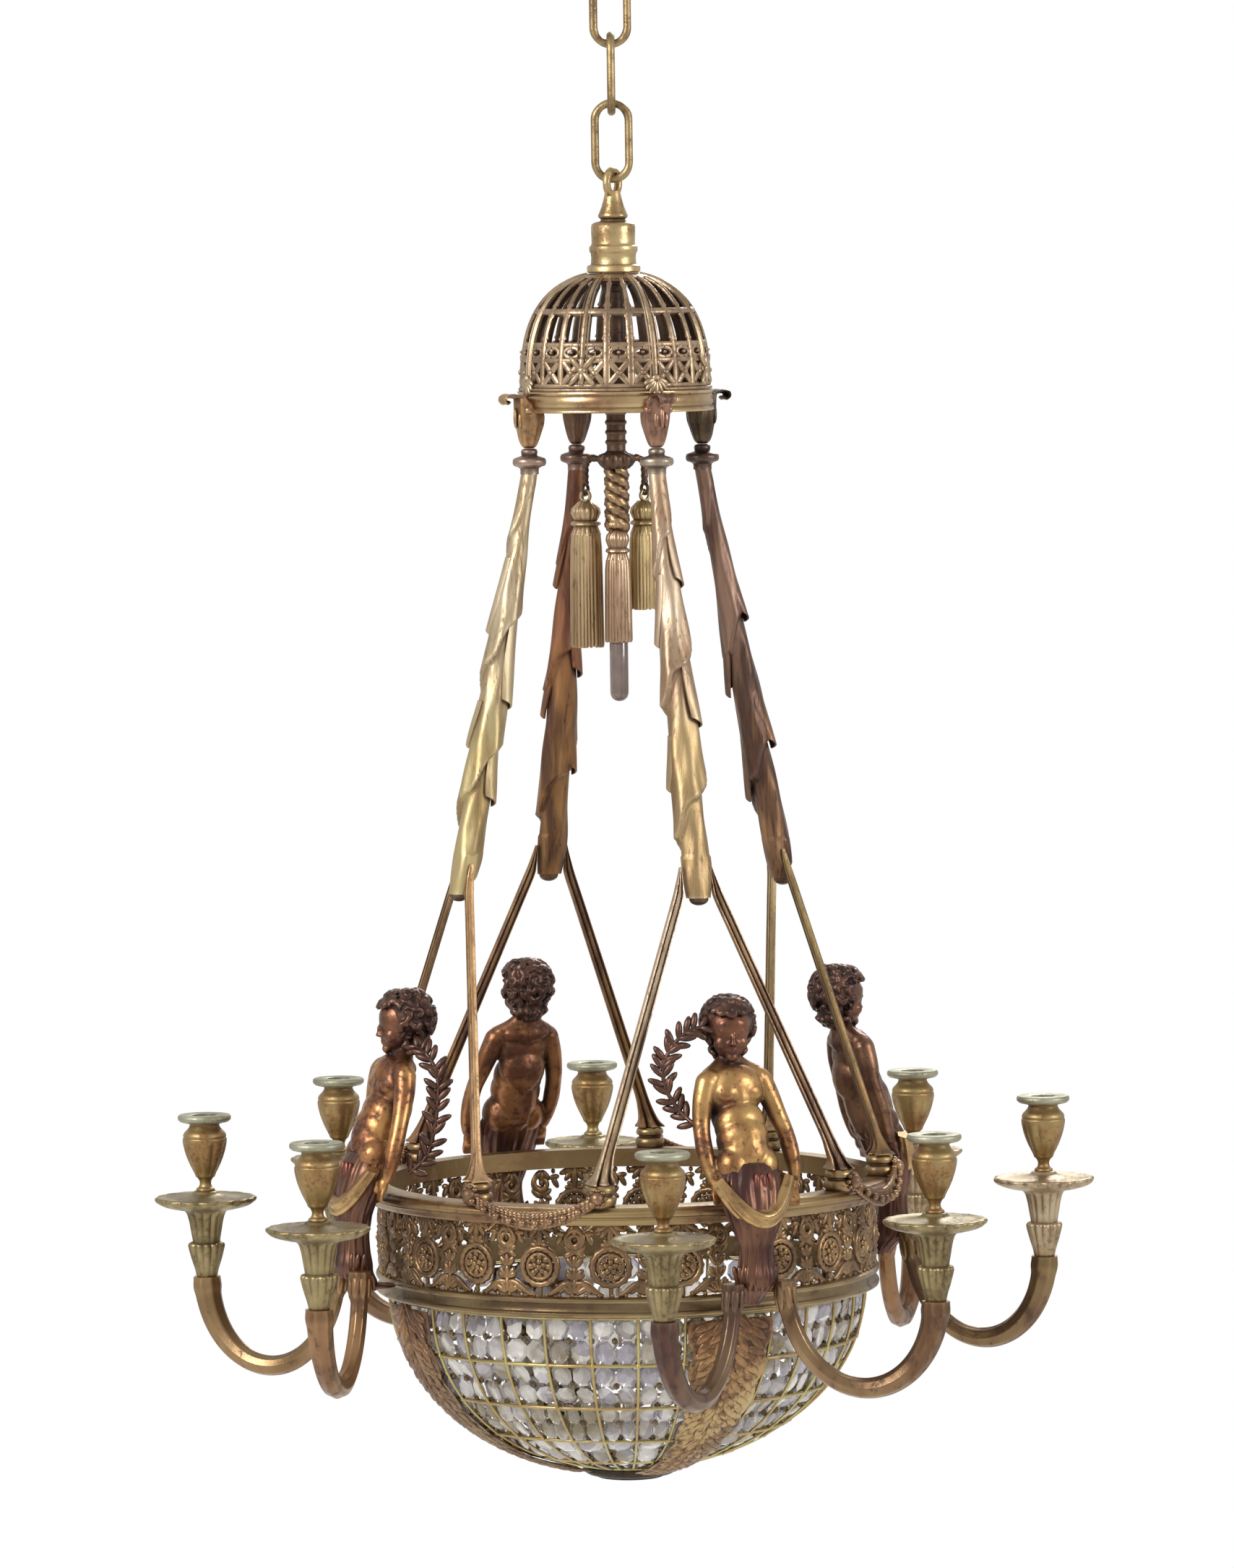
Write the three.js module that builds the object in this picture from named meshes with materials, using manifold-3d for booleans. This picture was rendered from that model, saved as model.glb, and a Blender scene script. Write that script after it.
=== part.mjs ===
// Gilt-bronze chandelier: a chain, a pierced dome, four draped stems on a gallery
// with four child figures, eight candle arms and a bowl of cut crystal.
// Millimetres, +Z up. The origin is where a ceiling hook touches the top chain link.

import * as THREE from 'three';
import { mergeVertices } from 'three/addons/utils/BufferGeometryUtils.js';
import Module from 'manifold-3d';

const wasm = await Module();
wasm.setup();

// General clearances
const seat = 0.3;
const quarter = Math.PI / 2;
const degrees = Math.PI / 180;

// Chain
const chainTurn = -24.8 * degrees;
const linkHeight = 72;
const linkWidth = 36;
const linkWire = 7;

// Finial
const eyeOuter = 28;
const eyeTurn = 62 * degrees;
const finialHeight = 70;
const coneTopRadius = 6.5;
const neckRadius = 19;
const finialFootRadius = 23;

// Pierced dome
const domeRadius = 81;
const domeHeight = 100;
const domePower = 2.6;
const domeWall = 4;
const domeRibs = 24;
const domeRibWidth = 7.5 * degrees;
const strongRibStep = 3;
const strongRibProud = 1.6;
const domeHoleRows = [[8, 24], [29, 46], [52, 84]];
const domeCrownRise = 95;

// Ring under the dome and its consoles
const ringHeight = 18;
const ringThickness = 9;
const ringProud = 3.5;
const consoleDrop = 48;
const consoleReach = 107;

// Centre rod, rope and tassels
const rodRadius = 8.1;
const rodClearance = 0.5;
const flangeRadius = 16;
const flangeThickness = 5;
const hubRadius = 17;
const hubHeight = 16;
const hubDrop = 52;
const ropeRadius = 11;
const ropeLength = 51;
const ropeStrands = 3;
const ropeTwist = 2.2 * Math.PI;
const frontTasselLength = 98;
const frontTasselRadius = 12.2;
const sideTasselRadius = 15;
const leftTasselLength = 126;
const rightTasselLength = 94;
const leftTasselPlace = new THREE.Vector2(-17.8, 25.8);
const rightTasselPlace = new THREE.Vector2(29.8, 7.2);
const hookRing = 4.5;
const hookWire = 1.5;
const tasselBoreDepth = 40;
const tasselWall = 2.5;
const bulbRadius = 8;
const bulbShown = 51;

// Draped stems
const stemTopReach = 82;
const stemFootReach = 153;
const stemDrop = 358;
const stemCheek = 13;
const cheekHeight = 26;
const collarRadius = 14.5;
const collarHeight = 21;
const stemWindings = 3.2;

// Ribbons
const footTurn = 30.4 * degrees;
const ribbonWidth = 12.5;
const ribbonThickness = 5;

// Gallery
const galleryReach = 220;
const galleryDrop = 252;
const upperRimWidth = 24;
const upperRimHeight = 16;
const bossRadius = 13;
const bossHeight = 18;
const festoonRadius = 8.5;
const festoonSag = 20;
const lowerRimInset = 2;
const lowerRimWidth = 10;
const lowerRimHeight = 18;
const friezeHeight = 61;
const rosettesPerSide = 5;
const rosettePitch = 16.4 * degrees;
const rosetteRadius = 17.3;
const rosetteRise = 25;
const rosetteThickness = 4;

// Figures: outward of the gallery's hoop, up from its top and down from the neck
const headInset = 13;
const shoulderInset = 6;
const bellyProud = 17;
const hipProud = 32;
const knotProud = 37;
const neckRise = 118;
const headRise = 147;
const chestDrop = 40;
const elbowDrop = 62;
const bellyDrop = 66;
const waistDrop = 84;
const wristDrop = 90;
const hipDrop = 102;
const clothDrop = 130;
const tieDrop = 144;
const shoulderHalf = 25;
const swagHalf = 32;
const swagSag = 34;
const bracketWidth = 16;

// Candle arms
const nozzleReach = 364;
const nozzleTurn = 20.1 * degrees;
const armStartProud = 5;
const armStartOffset = 24;
const armDrop = 82;
const armStartRadius = 7.5;
const armEndRadius = 12;
const nozzleHeight = 66;
const nozzleRimRadius = 23;
const nozzleRadius = 19;
const candleRadius = 10.5;
const candleDepth = 30;
const panRadius = 44;
const panHeight = 74;

// Bowl
const bowlInset = 4;
const bowlDepth = 165;
const bowlWall = 5;
const cageWire = 3;
const cageColumns = 16;
const cageRows = 5;
const capRadius = 41.5;
const capThickness = 10.5;
const leafTopWidth = 84;
const leafFootWidth = 34;
const leafThickness = 5;
const leafSeat = 1.3;

// Reaches that follow from the gallery's hoop
const lowerRimRadius = galleryReach - lowerRimInset;
const bowlRadius = lowerRimRadius - bowlInset;
const headReach = galleryReach - headInset;
const shoulderReach = galleryReach - shoulderInset;
const bellyReach = galleryReach + bellyProud;
const hipReach = galleryReach + hipProud;
const knotReach = galleryReach + knotProud;
const armStartReach = knotReach + armStartProud;

// Heights that follow from the sizes above, all measured down from the hook
const linkPitch = linkHeight - 2 * linkWire - seat;
const topLinkHeight = linkWire - linkHeight / 2;
const lowestLinkHeight = topLinkHeight - 2 * linkPitch;
const eyeTop = lowestLinkHeight - linkHeight / 2 + 2 * linkWire + seat;
const eyeHeight = eyeTop - eyeOuter / 2;
const finialTop = eyeHeight - eyeOuter / 2 + linkWire;
const domeTop = finialTop - finialHeight - seat;
const domeBase = domeTop - domeHeight;
const ringTop = domeBase - seat;
const ringBase = ringTop - ringHeight;
const stemTop = ringTop - consoleDrop - seat;
const stemStart = stemTop - collarHeight;
const stemFoot = stemStart - stemDrop;
const hubTop = domeBase - hubDrop;
const hubBase = hubTop - hubHeight;
const ropeBase = hubBase - ropeLength;
const galleryTop = stemFoot - galleryDrop;
const bossTop = galleryTop + bossHeight;
const friezeTop = galleryTop - upperRimHeight - seat;
const lowerRimTop = friezeTop - friezeHeight;
const lowerRimBase = lowerRimTop - lowerRimHeight;
const bowlTop = lowerRimBase - seat;
const armJoint = lowerRimTop - 1;
const panTop = armJoint + panHeight;
const nozzleTop = panTop + nozzleHeight;
const knotHeight = lowerRimTop + 14;

// A point given by its distance outward, its offset to the right and its height,
// for a piece that faces the viewer along the -Y side.
function at(reach, offset, height) {
  return new THREE.Vector3(offset, -reach, height);
}

function around(reach, angle, height) {
  return at(reach * Math.cos(angle), reach * Math.sin(angle), height);
}

function signedVolume(positions, index) {
  let volume = 0;
  const a = new THREE.Vector3();
  const b = new THREE.Vector3();
  const c = new THREE.Vector3();
  for (let i = 0; i < index.length; i += 3) {
    a.fromArray(positions, index[i] * 3);
    b.fromArray(positions, index[i + 1] * 3);
    c.fromArray(positions, index[i + 2] * 3);
    volume += a.dot(b.cross(c)) / 6;
  }
  return volume;
}

// Shared vertices are merged, slivers at the poles are dropped and faces point out.
function closed(geometry) {
  const plain = geometry.clone();
  plain.deleteAttribute('normal');
  plain.deleteAttribute('uv');
  const merged = mergeVertices(plain, 1e-3);
  const positions = merged.attributes.position.array;
  const index = [];
  const source = merged.index.array;
  for (let i = 0; i < source.length; i += 3) {
    const [a, b, c] = [source[i], source[i + 1], source[i + 2]];
    if (a !== b && b !== c && c !== a) {
      index.push(a, b, c);
    }
  }
  if (signedVolume(positions, index) < 0) {
    index.reverse();
  }
  merged.setIndex(index);
  return merged;
}

function toSolid(geometry) {
  const shape = closed(geometry);
  return new wasm.Manifold(new wasm.Mesh({
    numProp: 3,
    vertProperties: new Float32Array(shape.attributes.position.array),
    triVerts: new Uint32Array(shape.index.array),
  }));
}

function fromSolid(solid) {
  const mesh = solid.getMesh();
  const geometry = new THREE.BufferGeometry();
  geometry.setAttribute('position', new THREE.BufferAttribute(mesh.vertProperties, 3));
  geometry.setIndex(new THREE.BufferAttribute(mesh.triVerts, 1));
  return geometry;
}

function joined(...geometries) {
  return fromSolid(geometries.map(toSolid).reduce((sum, piece) => sum.add(piece)));
}

// Rings of points joined one after the other, with the ends capped or the rings closed on themselves.
function loft(rings, endless = false) {
  const positions = [];
  const index = [];
  const count = rings[0].length;
  rings.forEach((ring) => ring.forEach((point) => positions.push(point.x, point.y, point.z)));
  const spans = endless ? rings.length : rings.length - 1;
  for (let i = 0; i < spans; i += 1) {
    const here = i * count;
    const next = ((i + 1) % rings.length) * count;
    for (let j = 0; j < count; j += 1) {
      const k = (j + 1) % count;
      index.push(here + j, here + k, next + k, here + j, next + k, next + j);
    }
  }
  if (!endless) {
    for (let j = 1; j < count - 1; j += 1) {
      const end = (rings.length - 1) * count;
      index.push(0, j + 1, j, end, end + j, end + j + 1);
    }
  }
  const geometry = new THREE.BufferGeometry();
  geometry.setAttribute('position', new THREE.BufferAttribute(new Float32Array(positions), 3));
  geometry.setIndex(index);
  return geometry;
}

// An oval of points round a centre, spanned by two directions.
function oval(centre, first, second, sides, phase = 0) {
  return Array.from({ length: sides }, (_, i) => {
    const angle = (i + phase) / sides * 2 * Math.PI;
    return centre.clone()
      .addScaledVector(first, Math.cos(angle))
      .addScaledVector(second, Math.sin(angle));
  });
}

function level(centre, halfWidth, halfDepth, sides, phase = 0) {
  const across = new THREE.Vector3(halfWidth, 0, 0);
  const deep = new THREE.Vector3(0, halfDepth, 0);
  return oval(centre, across, deep, sides, phase);
}

// A tube of changing radius along a curve that stays in one upright plane.
function tube(curve, steps, sides, radiusAt, side) {
  const rings = [];
  for (let i = 0; i <= steps; i += 1) {
    const t = i / steps;
    const tangent = curve.getTangent(t);
    const across = side.clone().normalize();
    const out = tangent.clone().cross(across).normalize();
    const radius = radiusAt(t);
    rings.push(oval(curve.getPoint(t), across.multiplyScalar(radius), out.multiplyScalar(radius), sides, 0.5));
  }
  return loft(rings);
}

// A turned shape from [radius, height] pairs, upright on +Z.
function turned(profile, segments) {
  const points = profile.map(([radius, height]) => new THREE.Vector2(radius, height));
  return new THREE.LatheGeometry(points, segments).rotateX(quarter);
}

// A turned ring from the corners of its section.
function turnedRing(section, segments) {
  return turned([...section, section[0]], segments);
}

// A pierced shell of revolution: bars and openings alternate in both directions.
function lattice(outer, inner, angles, levels, openAt) {
  const positions = [];
  const index = [];
  const columns = angles.length;
  const rows = levels.length;
  const vertex = (i, j, side) => ((i % columns) * rows + j) * 2 + side;
  angles.forEach((angle, i) => {
    levels.forEach((value) => {
      [outer, inner].forEach((shape) => {
        const [radius, height] = shape(value, i);
        positions.push(radius * Math.sin(angle), -radius * Math.cos(angle), height);
      });
    });
  });
  const quad = (a, b, c, d) => index.push(a, b, c, a, c, d);
  const solidAt = (i, j) => j >= 0 && j < rows - 1 && !openAt((i + columns) % columns, j);
  for (let i = 0; i < columns; i += 1) {
    for (let j = 0; j < rows - 1; j += 1) {
      if (solidAt(i, j)) {
        quad(vertex(i, j, 0), vertex(i + 1, j, 0), vertex(i + 1, j + 1, 0), vertex(i, j + 1, 0));
        quad(vertex(i, j, 1), vertex(i, j + 1, 1), vertex(i + 1, j + 1, 1), vertex(i + 1, j, 1));
        if (!solidAt(i, j - 1)) {
          quad(vertex(i, j, 0), vertex(i, j, 1), vertex(i + 1, j, 1), vertex(i + 1, j, 0));
        }
        if (!solidAt(i, j + 1)) {
          quad(vertex(i, j + 1, 0), vertex(i + 1, j + 1, 0), vertex(i + 1, j + 1, 1), vertex(i, j + 1, 1));
        }
        if (!solidAt(i - 1, j)) {
          quad(vertex(i, j, 0), vertex(i, j + 1, 0), vertex(i, j + 1, 1), vertex(i, j, 1));
        }
        if (!solidAt(i + 1, j)) {
          quad(vertex(i + 1, j, 0), vertex(i + 1, j, 1), vertex(i + 1, j + 1, 1), vertex(i + 1, j + 1, 0));
        }
      }
    }
  }
  const geometry = new THREE.BufferGeometry();
  geometry.setAttribute('position', new THREE.BufferAttribute(new Float32Array(positions), 3));
  geometry.setIndex(index);
  return geometry;
}

// Oval chain link, upright in the XZ plane round its own centre.
function chainLink() {
  const steps = 6;
  const bend = (linkWidth - linkWire) / 2;
  const straight = (linkHeight - linkWidth) / 2;
  const across = new THREE.Vector3(0, linkWire / 2, 0);
  const rings = [];
  [0, Math.PI].forEach((start) => {
    for (let i = 0; i <= steps; i += 1) {
      const angle = start + i / steps * Math.PI;
      const outward = new THREE.Vector3(Math.cos(angle), 0, Math.sin(angle));
      const centre = outward.clone().multiplyScalar(bend);
      centre.z += start === 0 ? straight : -straight;
      rings.push(oval(centre, outward.multiplyScalar(linkWire / 2), across, 6));
    }
  });
  return loft(rings, true);
}

// Finial: a ring eye on a cone, a turned neck and a flared foot, cast in one.
function eyeFinial() {
  const foot = finialTop - finialHeight;
  const profile = [
    [0, foot],
    [finialFootRadius, foot],
    [finialFootRadius, foot + 6],
    [neckRadius, foot + 9],
    [neckRadius + 0.5, foot + 17],
    [neckRadius + 1.7, foot + 20],
    [neckRadius + 1.7, foot + 23],
    [neckRadius - 0.5, foot + 26],
    [neckRadius, foot + 40],
    [neckRadius - 3, foot + 44],
    [neckRadius - 8.5, foot + 45],
    [neckRadius - 6, foot + 48],
    [coneTopRadius, finialTop],
    [0, finialTop],
  ];
  const eye = new THREE.TorusGeometry((eyeOuter - linkWire) / 2, linkWire / 2, 6, 12);
  eye.rotateX(quarter).rotateZ(eyeTurn + chainTurn).translate(0, 0, eyeHeight);
  return joined(turned(profile, 12), eye);
}

// Dome outline: a rounded bell given by its height above the base.
function domeOutline(height) {
  const share = Math.min(height / domeHeight, 1);
  return domeRadius * Math.pow(1 - Math.pow(share, domePower), 1 / domePower);
}

function piercedDome() {
  const crown = domeHeight - domeWall;
  const levels = [0, ...domeHoleRows.flat(), domeCrownRise];
  const pitch = 2 * Math.PI / domeRibs;
  const angles = Array.from({ length: domeRibs }, (_, i) => {
    const strong = i % strongRibStep === 0;
    const half = domeRibWidth * (strong ? 0.36 : 0.25);
    return [i * pitch - half, i * pitch + half];
  }).flat();
  const proud = (i) => (Math.floor(i / 2) % strongRibStep === 0 ? strongRibProud : 0);
  const outer = (height, i) => [domeOutline(height) + proud(i) * (height > 0 ? 1 : 0), domeBase + height];
  const inner = (height) => [domeOutline(height) - domeWall, domeBase + Math.min(height, crown - 2)];
  const openAt = (i, j) => i % 2 === 1 && j % 2 === 1;
  const shell = lattice(outer, inner, angles, levels, openAt);
  const edge = domeOutline(domeCrownRise);
  const crownDisc = turnedRing([
    [rodRadius + rodClearance, domeTop - domeWall],
    [flangeRadius + 2, domeTop - domeWall],
    [edge - domeWall / 2, domeBase + domeCrownRise - 2],
    [domeOutline(domeHeight - 1), domeTop - 1],
    [rodRadius + rodClearance, domeTop],
  ], 16);
  return joined(shell, crownDisc);
}

// Console: a scroll at the ring's top that tapers down to a bud over the stem.
function stemConsole() {
  const sections = [
    [ringTop - 4, stemTopReach + 8, 11, 5],
    [ringTop - 10, stemTopReach + 4, 12, 8],
    [ringBase, stemTopReach - 3, 12.5, 13],
    [ringBase - 12, stemTopReach - 1, 11, 11.5],
    [ringBase - 22, stemTopReach, 8.5, 9],
    [ringTop - consoleDrop, stemTopReach, 4.5, 4.5],
  ];
  const body = loft(sections.map(([height, reach, half, deep]) => level(at(reach, 0, height), half, deep, 6, 0.5)));
  const curl = [
    [stemTopReach + 6, ringTop - 10, 10, 4],
    [stemTopReach + 15, ringTop - 4, 9, 2.4],
    [consoleReach - 4, ringTop - 1.5, 8, 2.4],
    [consoleReach, ringTop - 5, 7, 1.2],
  ];
  const scroll = loft(curl.map(([reach, height, half, thick]) => [
    at(reach, -half, height - thick),
    at(reach, half, height - thick),
    at(reach, half, height + thick),
    at(reach, -half, height + thick),
  ]));
  return joined(body, scroll);
}

function domeRing() {
  const inside = domeRadius + ringProud - ringThickness;
  const outside = domeRadius + ringProud;
  const band = turnedRing([
    [inside, ringTop],
    [outside, ringTop],
    [outside - 2, ringTop - 5],
    [outside - 2, ringBase + 4],
    [outside, ringBase],
    [inside, ringBase],
  ], 24);
  const consoles = [0, 1, 2, 3].map((k) => stemConsole().rotateZ(k * quarter));
  return joined(band, ...consoles);
}

// A small ring that a tassel hangs from, in a plane turned about the vertical.
function smallRing(place, height, turn) {
  const ring = new THREE.TorusGeometry(hookRing, hookWire, 5, 8);
  return ring.rotateX(quarter).rotateZ(turn).translate(place.x, place.y, height);
}

function tasselTurn(place) {
  return Math.atan2(place.y, place.x);
}

// Rope: strands twisted round the centre line.
function rope(top, base, radius) {
  const steps = 6;
  const sides = 9;
  const rings = [];
  for (let i = 0; i <= steps; i += 1) {
    const height = top + (base - top) * i / steps;
    const ring = [];
    for (let j = 0; j < sides; j += 1) {
      const angle = j / sides * 2 * Math.PI;
      const lay = Math.cos(ropeStrands * (angle - ropeTwist * i / steps / ropeStrands));
      const reach = radius * (0.88 + 0.12 * lay);
      ring.push(new THREE.Vector3(reach * Math.cos(angle), reach * Math.sin(angle), height));
    }
    rings.push(ring);
  }
  return loft(rings);
}

const hookHeight = hubBase - 18;

// Centre rod: it clamps the dome's crown, and carries the hub, two hooks and the rope.
function centreRod() {
  const crownUnder = domeTop - domeWall - seat;
  const rod = turned([
    [0, hubTop - 2],
    [rodRadius - 0.5, hubTop - 2],
    [rodRadius, crownUnder - flangeThickness],
    [flangeRadius, crownUnder - flangeThickness],
    [flangeRadius, crownUnder],
    [rodRadius, crownUnder],
    [rodRadius, domeTop],
    [0, domeTop],
  ], 8);
  const hub = turned([
    [0, hubBase],
    [ropeRadius, hubBase],
    [hubRadius, hubBase + 5],
    [hubRadius, hubTop - 6],
    [rodRadius, hubTop],
    [0, hubTop],
  ], 8);
  const hooks = [leftTasselPlace, rightTasselPlace].map((place) => {
    const reach = place.length();
    const turn = tasselTurn(place);
    const curve = new THREE.CatmullRomCurve3([
      new THREE.Vector3(hubRadius - 6, 0, hubBase + 7),
      new THREE.Vector3(reach - 3, 0, hubBase + 5),
      new THREE.Vector3(reach, 0, hubBase - 4),
      new THREE.Vector3(reach, 0, hookHeight + hookRing),
    ]);
    const branch = tube(curve, 4, 5, () => 2.6, new THREE.Vector3(0, 1, 0));
    return joined(branch.rotateZ(turn), smallRing(place, hookHeight, turn + quarter));
  });
  return joined(rod, hub, rope(hubBase + 1, ropeBase, ropeRadius), ...hooks);
}

// Front tassel: a lampholder under the rope, open below for the bulb.
function frontTassel() {
  const top = ropeBase - seat;
  const base = top - frontTasselLength;
  return turned([
    [0, top],
    [frontTasselRadius - 3, top],
    [frontTasselRadius - 1.5, top - 14],
    [frontTasselRadius - 3.5, top - 34],
    [frontTasselRadius - 1, top - 42],
    [frontTasselRadius, base],
    [frontTasselRadius - tasselWall, base],
    [frontTasselRadius - tasselWall, base + tasselBoreDepth],
    [0, base + tasselBoreDepth],
  ], 10);
}

// Side tassel: it hangs from its hook by a ring and is open below.
function sideTassel(place, length) {
  const ringCentre = hookHeight - 2 * hookRing + 2 * hookWire + seat;
  const top = ringCentre - hookRing;
  const base = top - length;
  const body = turned([
    [0, top],
    [5, top],
    [sideTasselRadius - 4, top - 8],
    [sideTasselRadius - 3, top - 13],
    [sideTasselRadius - 5, top - 20],
    [sideTasselRadius - 1, top - 30],
    [sideTasselRadius, base],
    [sideTasselRadius - tasselWall, base],
    [sideTasselRadius - tasselWall, base + tasselBoreDepth],
    [0, base + tasselBoreDepth],
  ], 10);
  body.translate(place.x, place.y, 0);
  return joined(body, smallRing(place, ringCentre, tasselTurn(place)));
}

function tubularBulb() {
  const mouth = ropeBase - seat - frontTasselLength;
  const top = mouth + tasselBoreDepth - seat;
  const tip = mouth - bulbShown;
  return turned([
    [0, tip],
    [bulbRadius * 0.6, tip + 1.5],
    [bulbRadius * 0.92, tip + 5],
    [bulbRadius, tip + 9],
    [bulbRadius, top - 14],
    [bulbRadius - 1.5, top - 12],
    [bulbRadius - 1.5, top],
    [0, top],
  ], 8);
}

// Draped stem: a bobbin collar over a leaning stem wrapped in cloth, whose folds wind down it.
function drapedStem() {
  const sides = 8;
  const steps = 15;
  const cheekStart = 1 - 1.6 * cheekHeight / stemDrop;
  const collar = turned([
    [0, stemTop],
    [9.5, stemTop - 2],
    [8.5, stemTop - 7],
    [collarRadius, stemTop - 10],
    [collarRadius, stemTop - 14],
    [8, stemStart - 2],
    [0, stemStart - 2],
  ], 8).translate(0, -stemTopReach, 0);
  const thickness = new THREE.SplineCurve([
    new THREE.Vector2(0, 8.5),
    new THREE.Vector2(0.3, 12),
    new THREE.Vector2(0.6, 15.5),
    new THREE.Vector2(0.85, 14.5),
    new THREE.Vector2(1, 11),
  ]);
  const rings = [];
  for (let i = 0; i <= steps; i += 1) {
    const t = i / steps;
    const reach = stemTopReach + (stemFootReach - stemTopReach) * t;
    const height = stemStart + (stemFoot - stemStart) * t;
    const plain = thickness.getPoint(t).y;
    const ring = [];
    for (let j = 0; j < sides; j += 1) {
      const angle = (j + 0.5) / sides * 2 * Math.PI;
      const wind = t * stemWindings - angle / (2 * Math.PI);
      const fold = 0.88 + 0.2 * (wind - Math.floor(wind));
      const radius = plain * (t > 0.02 && t < 0.95 ? fold : 0.95);
      let offset = radius * Math.cos(angle);
      if (t > cheekStart && Math.abs(Math.cos(angle)) > 0.7) {
        offset = Math.sign(offset) * stemCheek;
      }
      ring.push(at(reach + radius * Math.sin(angle) * 0.9, offset, height));
    }
    rings.push(ring);
  }
  rings.push(level(at(stemFootReach + 1, 0, stemFoot - 5), 6, -6, sides, 0.5));
  return joined(collar, loft(rings));
}

// Ribbon: a flat bar from the cheek of the stem to its flared foot on the rim.
function ribbon(hand) {
  const lean = (stemFootReach - stemTopReach) / stemDrop;
  const footReach = galleryReach * Math.cos(footTurn);
  const footOffset = galleryReach * Math.sin(footTurn);
  const inner = stemCheek + seat;
  const sections = [
    [stemFootReach - cheekHeight * lean, inner + ribbonWidth * 0.4, stemFoot + cheekHeight, ribbonWidth * 0.8, ribbonThickness],
    [stemFootReach, inner + ribbonWidth / 2, stemFoot, ribbonWidth, ribbonThickness],
    [footReach - 3, footOffset - 9, bossTop + 28, ribbonWidth, ribbonThickness],
    [footReach, footOffset - 2, bossTop + 9, ribbonWidth + 4, ribbonThickness + 5],
    [footReach, footOffset, bossTop + seat, ribbonWidth + 11, ribbonThickness + 14],
  ];
  return loft(sections.map(([reach, offset, height, width, thick]) => [
    at(reach - thick / 2, hand * (offset - width / 2), height),
    at(reach - thick / 2, hand * (offset + width / 2), height),
    at(reach + thick / 2, hand * (offset + width / 2), height),
    at(reach + thick / 2, hand * (offset - width / 2), height),
  ]));
}

// Festoon: a swelling garland that hangs from one boss to the next over the front of the rim.
function festoon() {
  const steps = 5;
  const reach = galleryReach + upperRimWidth / 2 + 1;
  const span = quarter - 2 * footTurn;
  const rings = [];
  for (let i = 0; i <= steps; i += 1) {
    const t = i / steps * 2 - 1;
    const angle = quarter / 2 + span / 2 * t;
    const radius = festoonRadius * (1 - 0.45 * t * t);
    const height = galleryTop + 8 - festoonSag * (1 - t * t);
    const outward = around(1, angle, 0);
    rings.push(oval(around(reach, angle, height), outward.multiplyScalar(radius), new THREE.Vector3(0, 0, radius), 5));
  }
  return loft(rings);
}

function upperRim() {
  const inside = galleryReach - upperRimWidth / 2;
  const outside = galleryReach + upperRimWidth / 2;
  const base = galleryTop - upperRimHeight;
  const band = turnedRing([
    [inside, galleryTop],
    [outside - 4, galleryTop],
    [outside, galleryTop - 4],
    [outside, galleryTop - 9],
    [outside - 6, base],
    [inside, base],
  ], 28);
  const boss = turned([
    [0, galleryTop - 3],
    [bossRadius, galleryTop + bossHeight * 0.45],
    [bossRadius - 3, bossTop],
    [0, bossTop],
  ], 6);
  const trims = [0, 1, 2, 3].flatMap((k) => [
    ...[-1, 1].map((hand) => {
      const place = around(galleryReach, hand * footTurn, 0);
      return boss.clone().translate(place.x, place.y, 0).rotateZ(k * quarter);
    }),
    festoon().rotateZ(k * quarter),
  ]);
  return joined(band, ...trims);
}

// Rosette: an open round with an upright bar across it, on a stalk from band to rim.
function rosette(base, top) {
  const half = 2;
  const sides = 8;
  const rim = (radius, first, last, count) => Array.from({ length: count }, (_, i) => {
    const angle = first + (last - first) * i / (count - 1);
    return new THREE.Vector2(radius * Math.cos(angle), rosetteRise + radius * Math.sin(angle));
  });
  const gap = Math.asin(half / rosetteRadius);
  const upper = quarter - gap;
  const outline = [
    new THREE.Vector2(half, base),
    ...rim(rosetteRadius, -upper, upper, sides / 2),
    new THREE.Vector2(half, top),
    new THREE.Vector2(-half, top),
    ...rim(rosetteRadius, Math.PI - upper, Math.PI + upper, sides / 2),
    new THREE.Vector2(-half, base),
  ];
  const shape = new THREE.Shape(outline);
  const inner = rosetteRadius - 5;
  const open = quarter - Math.asin(half / inner) - 0.1;
  [0, Math.PI].forEach((turn) => shape.holes.push(new THREE.Path(rim(inner, turn - open, turn + open, 4))));
  const flat = new THREE.ExtrudeGeometry(shape, { depth: rosetteThickness, bevelEnabled: false });
  return flat.translate(0, 0, -rosetteThickness / 2).rotateX(quarter);
}

function rosetteFrieze() {
  const inside = lowerRimRadius - lowerRimWidth;
  const band = turnedRing([
    [inside, lowerRimTop],
    [lowerRimRadius - 3, lowerRimTop],
    [lowerRimRadius, lowerRimTop - 4],
    [lowerRimRadius - 2, lowerRimTop - 9],
    [lowerRimRadius, lowerRimBase],
    [inside, lowerRimBase],
  ], 28);
  const reach = lowerRimRadius - lowerRimWidth / 2;
  const plain = rosette(-3, friezeTop - lowerRimTop).translate(0, -reach, lowerRimTop);
  const turns = [0, 1, 2, 3].flatMap((k) => Array.from({ length: rosettesPerSide }, (_, i) => {
    return k * quarter + quarter / 2 + (i - (rosettesPerSide - 1) / 2) * rosettePitch;
  }));
  return joined(band, ...turns.map((turn) => plain.clone().rotateZ(turn)));
}

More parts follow.
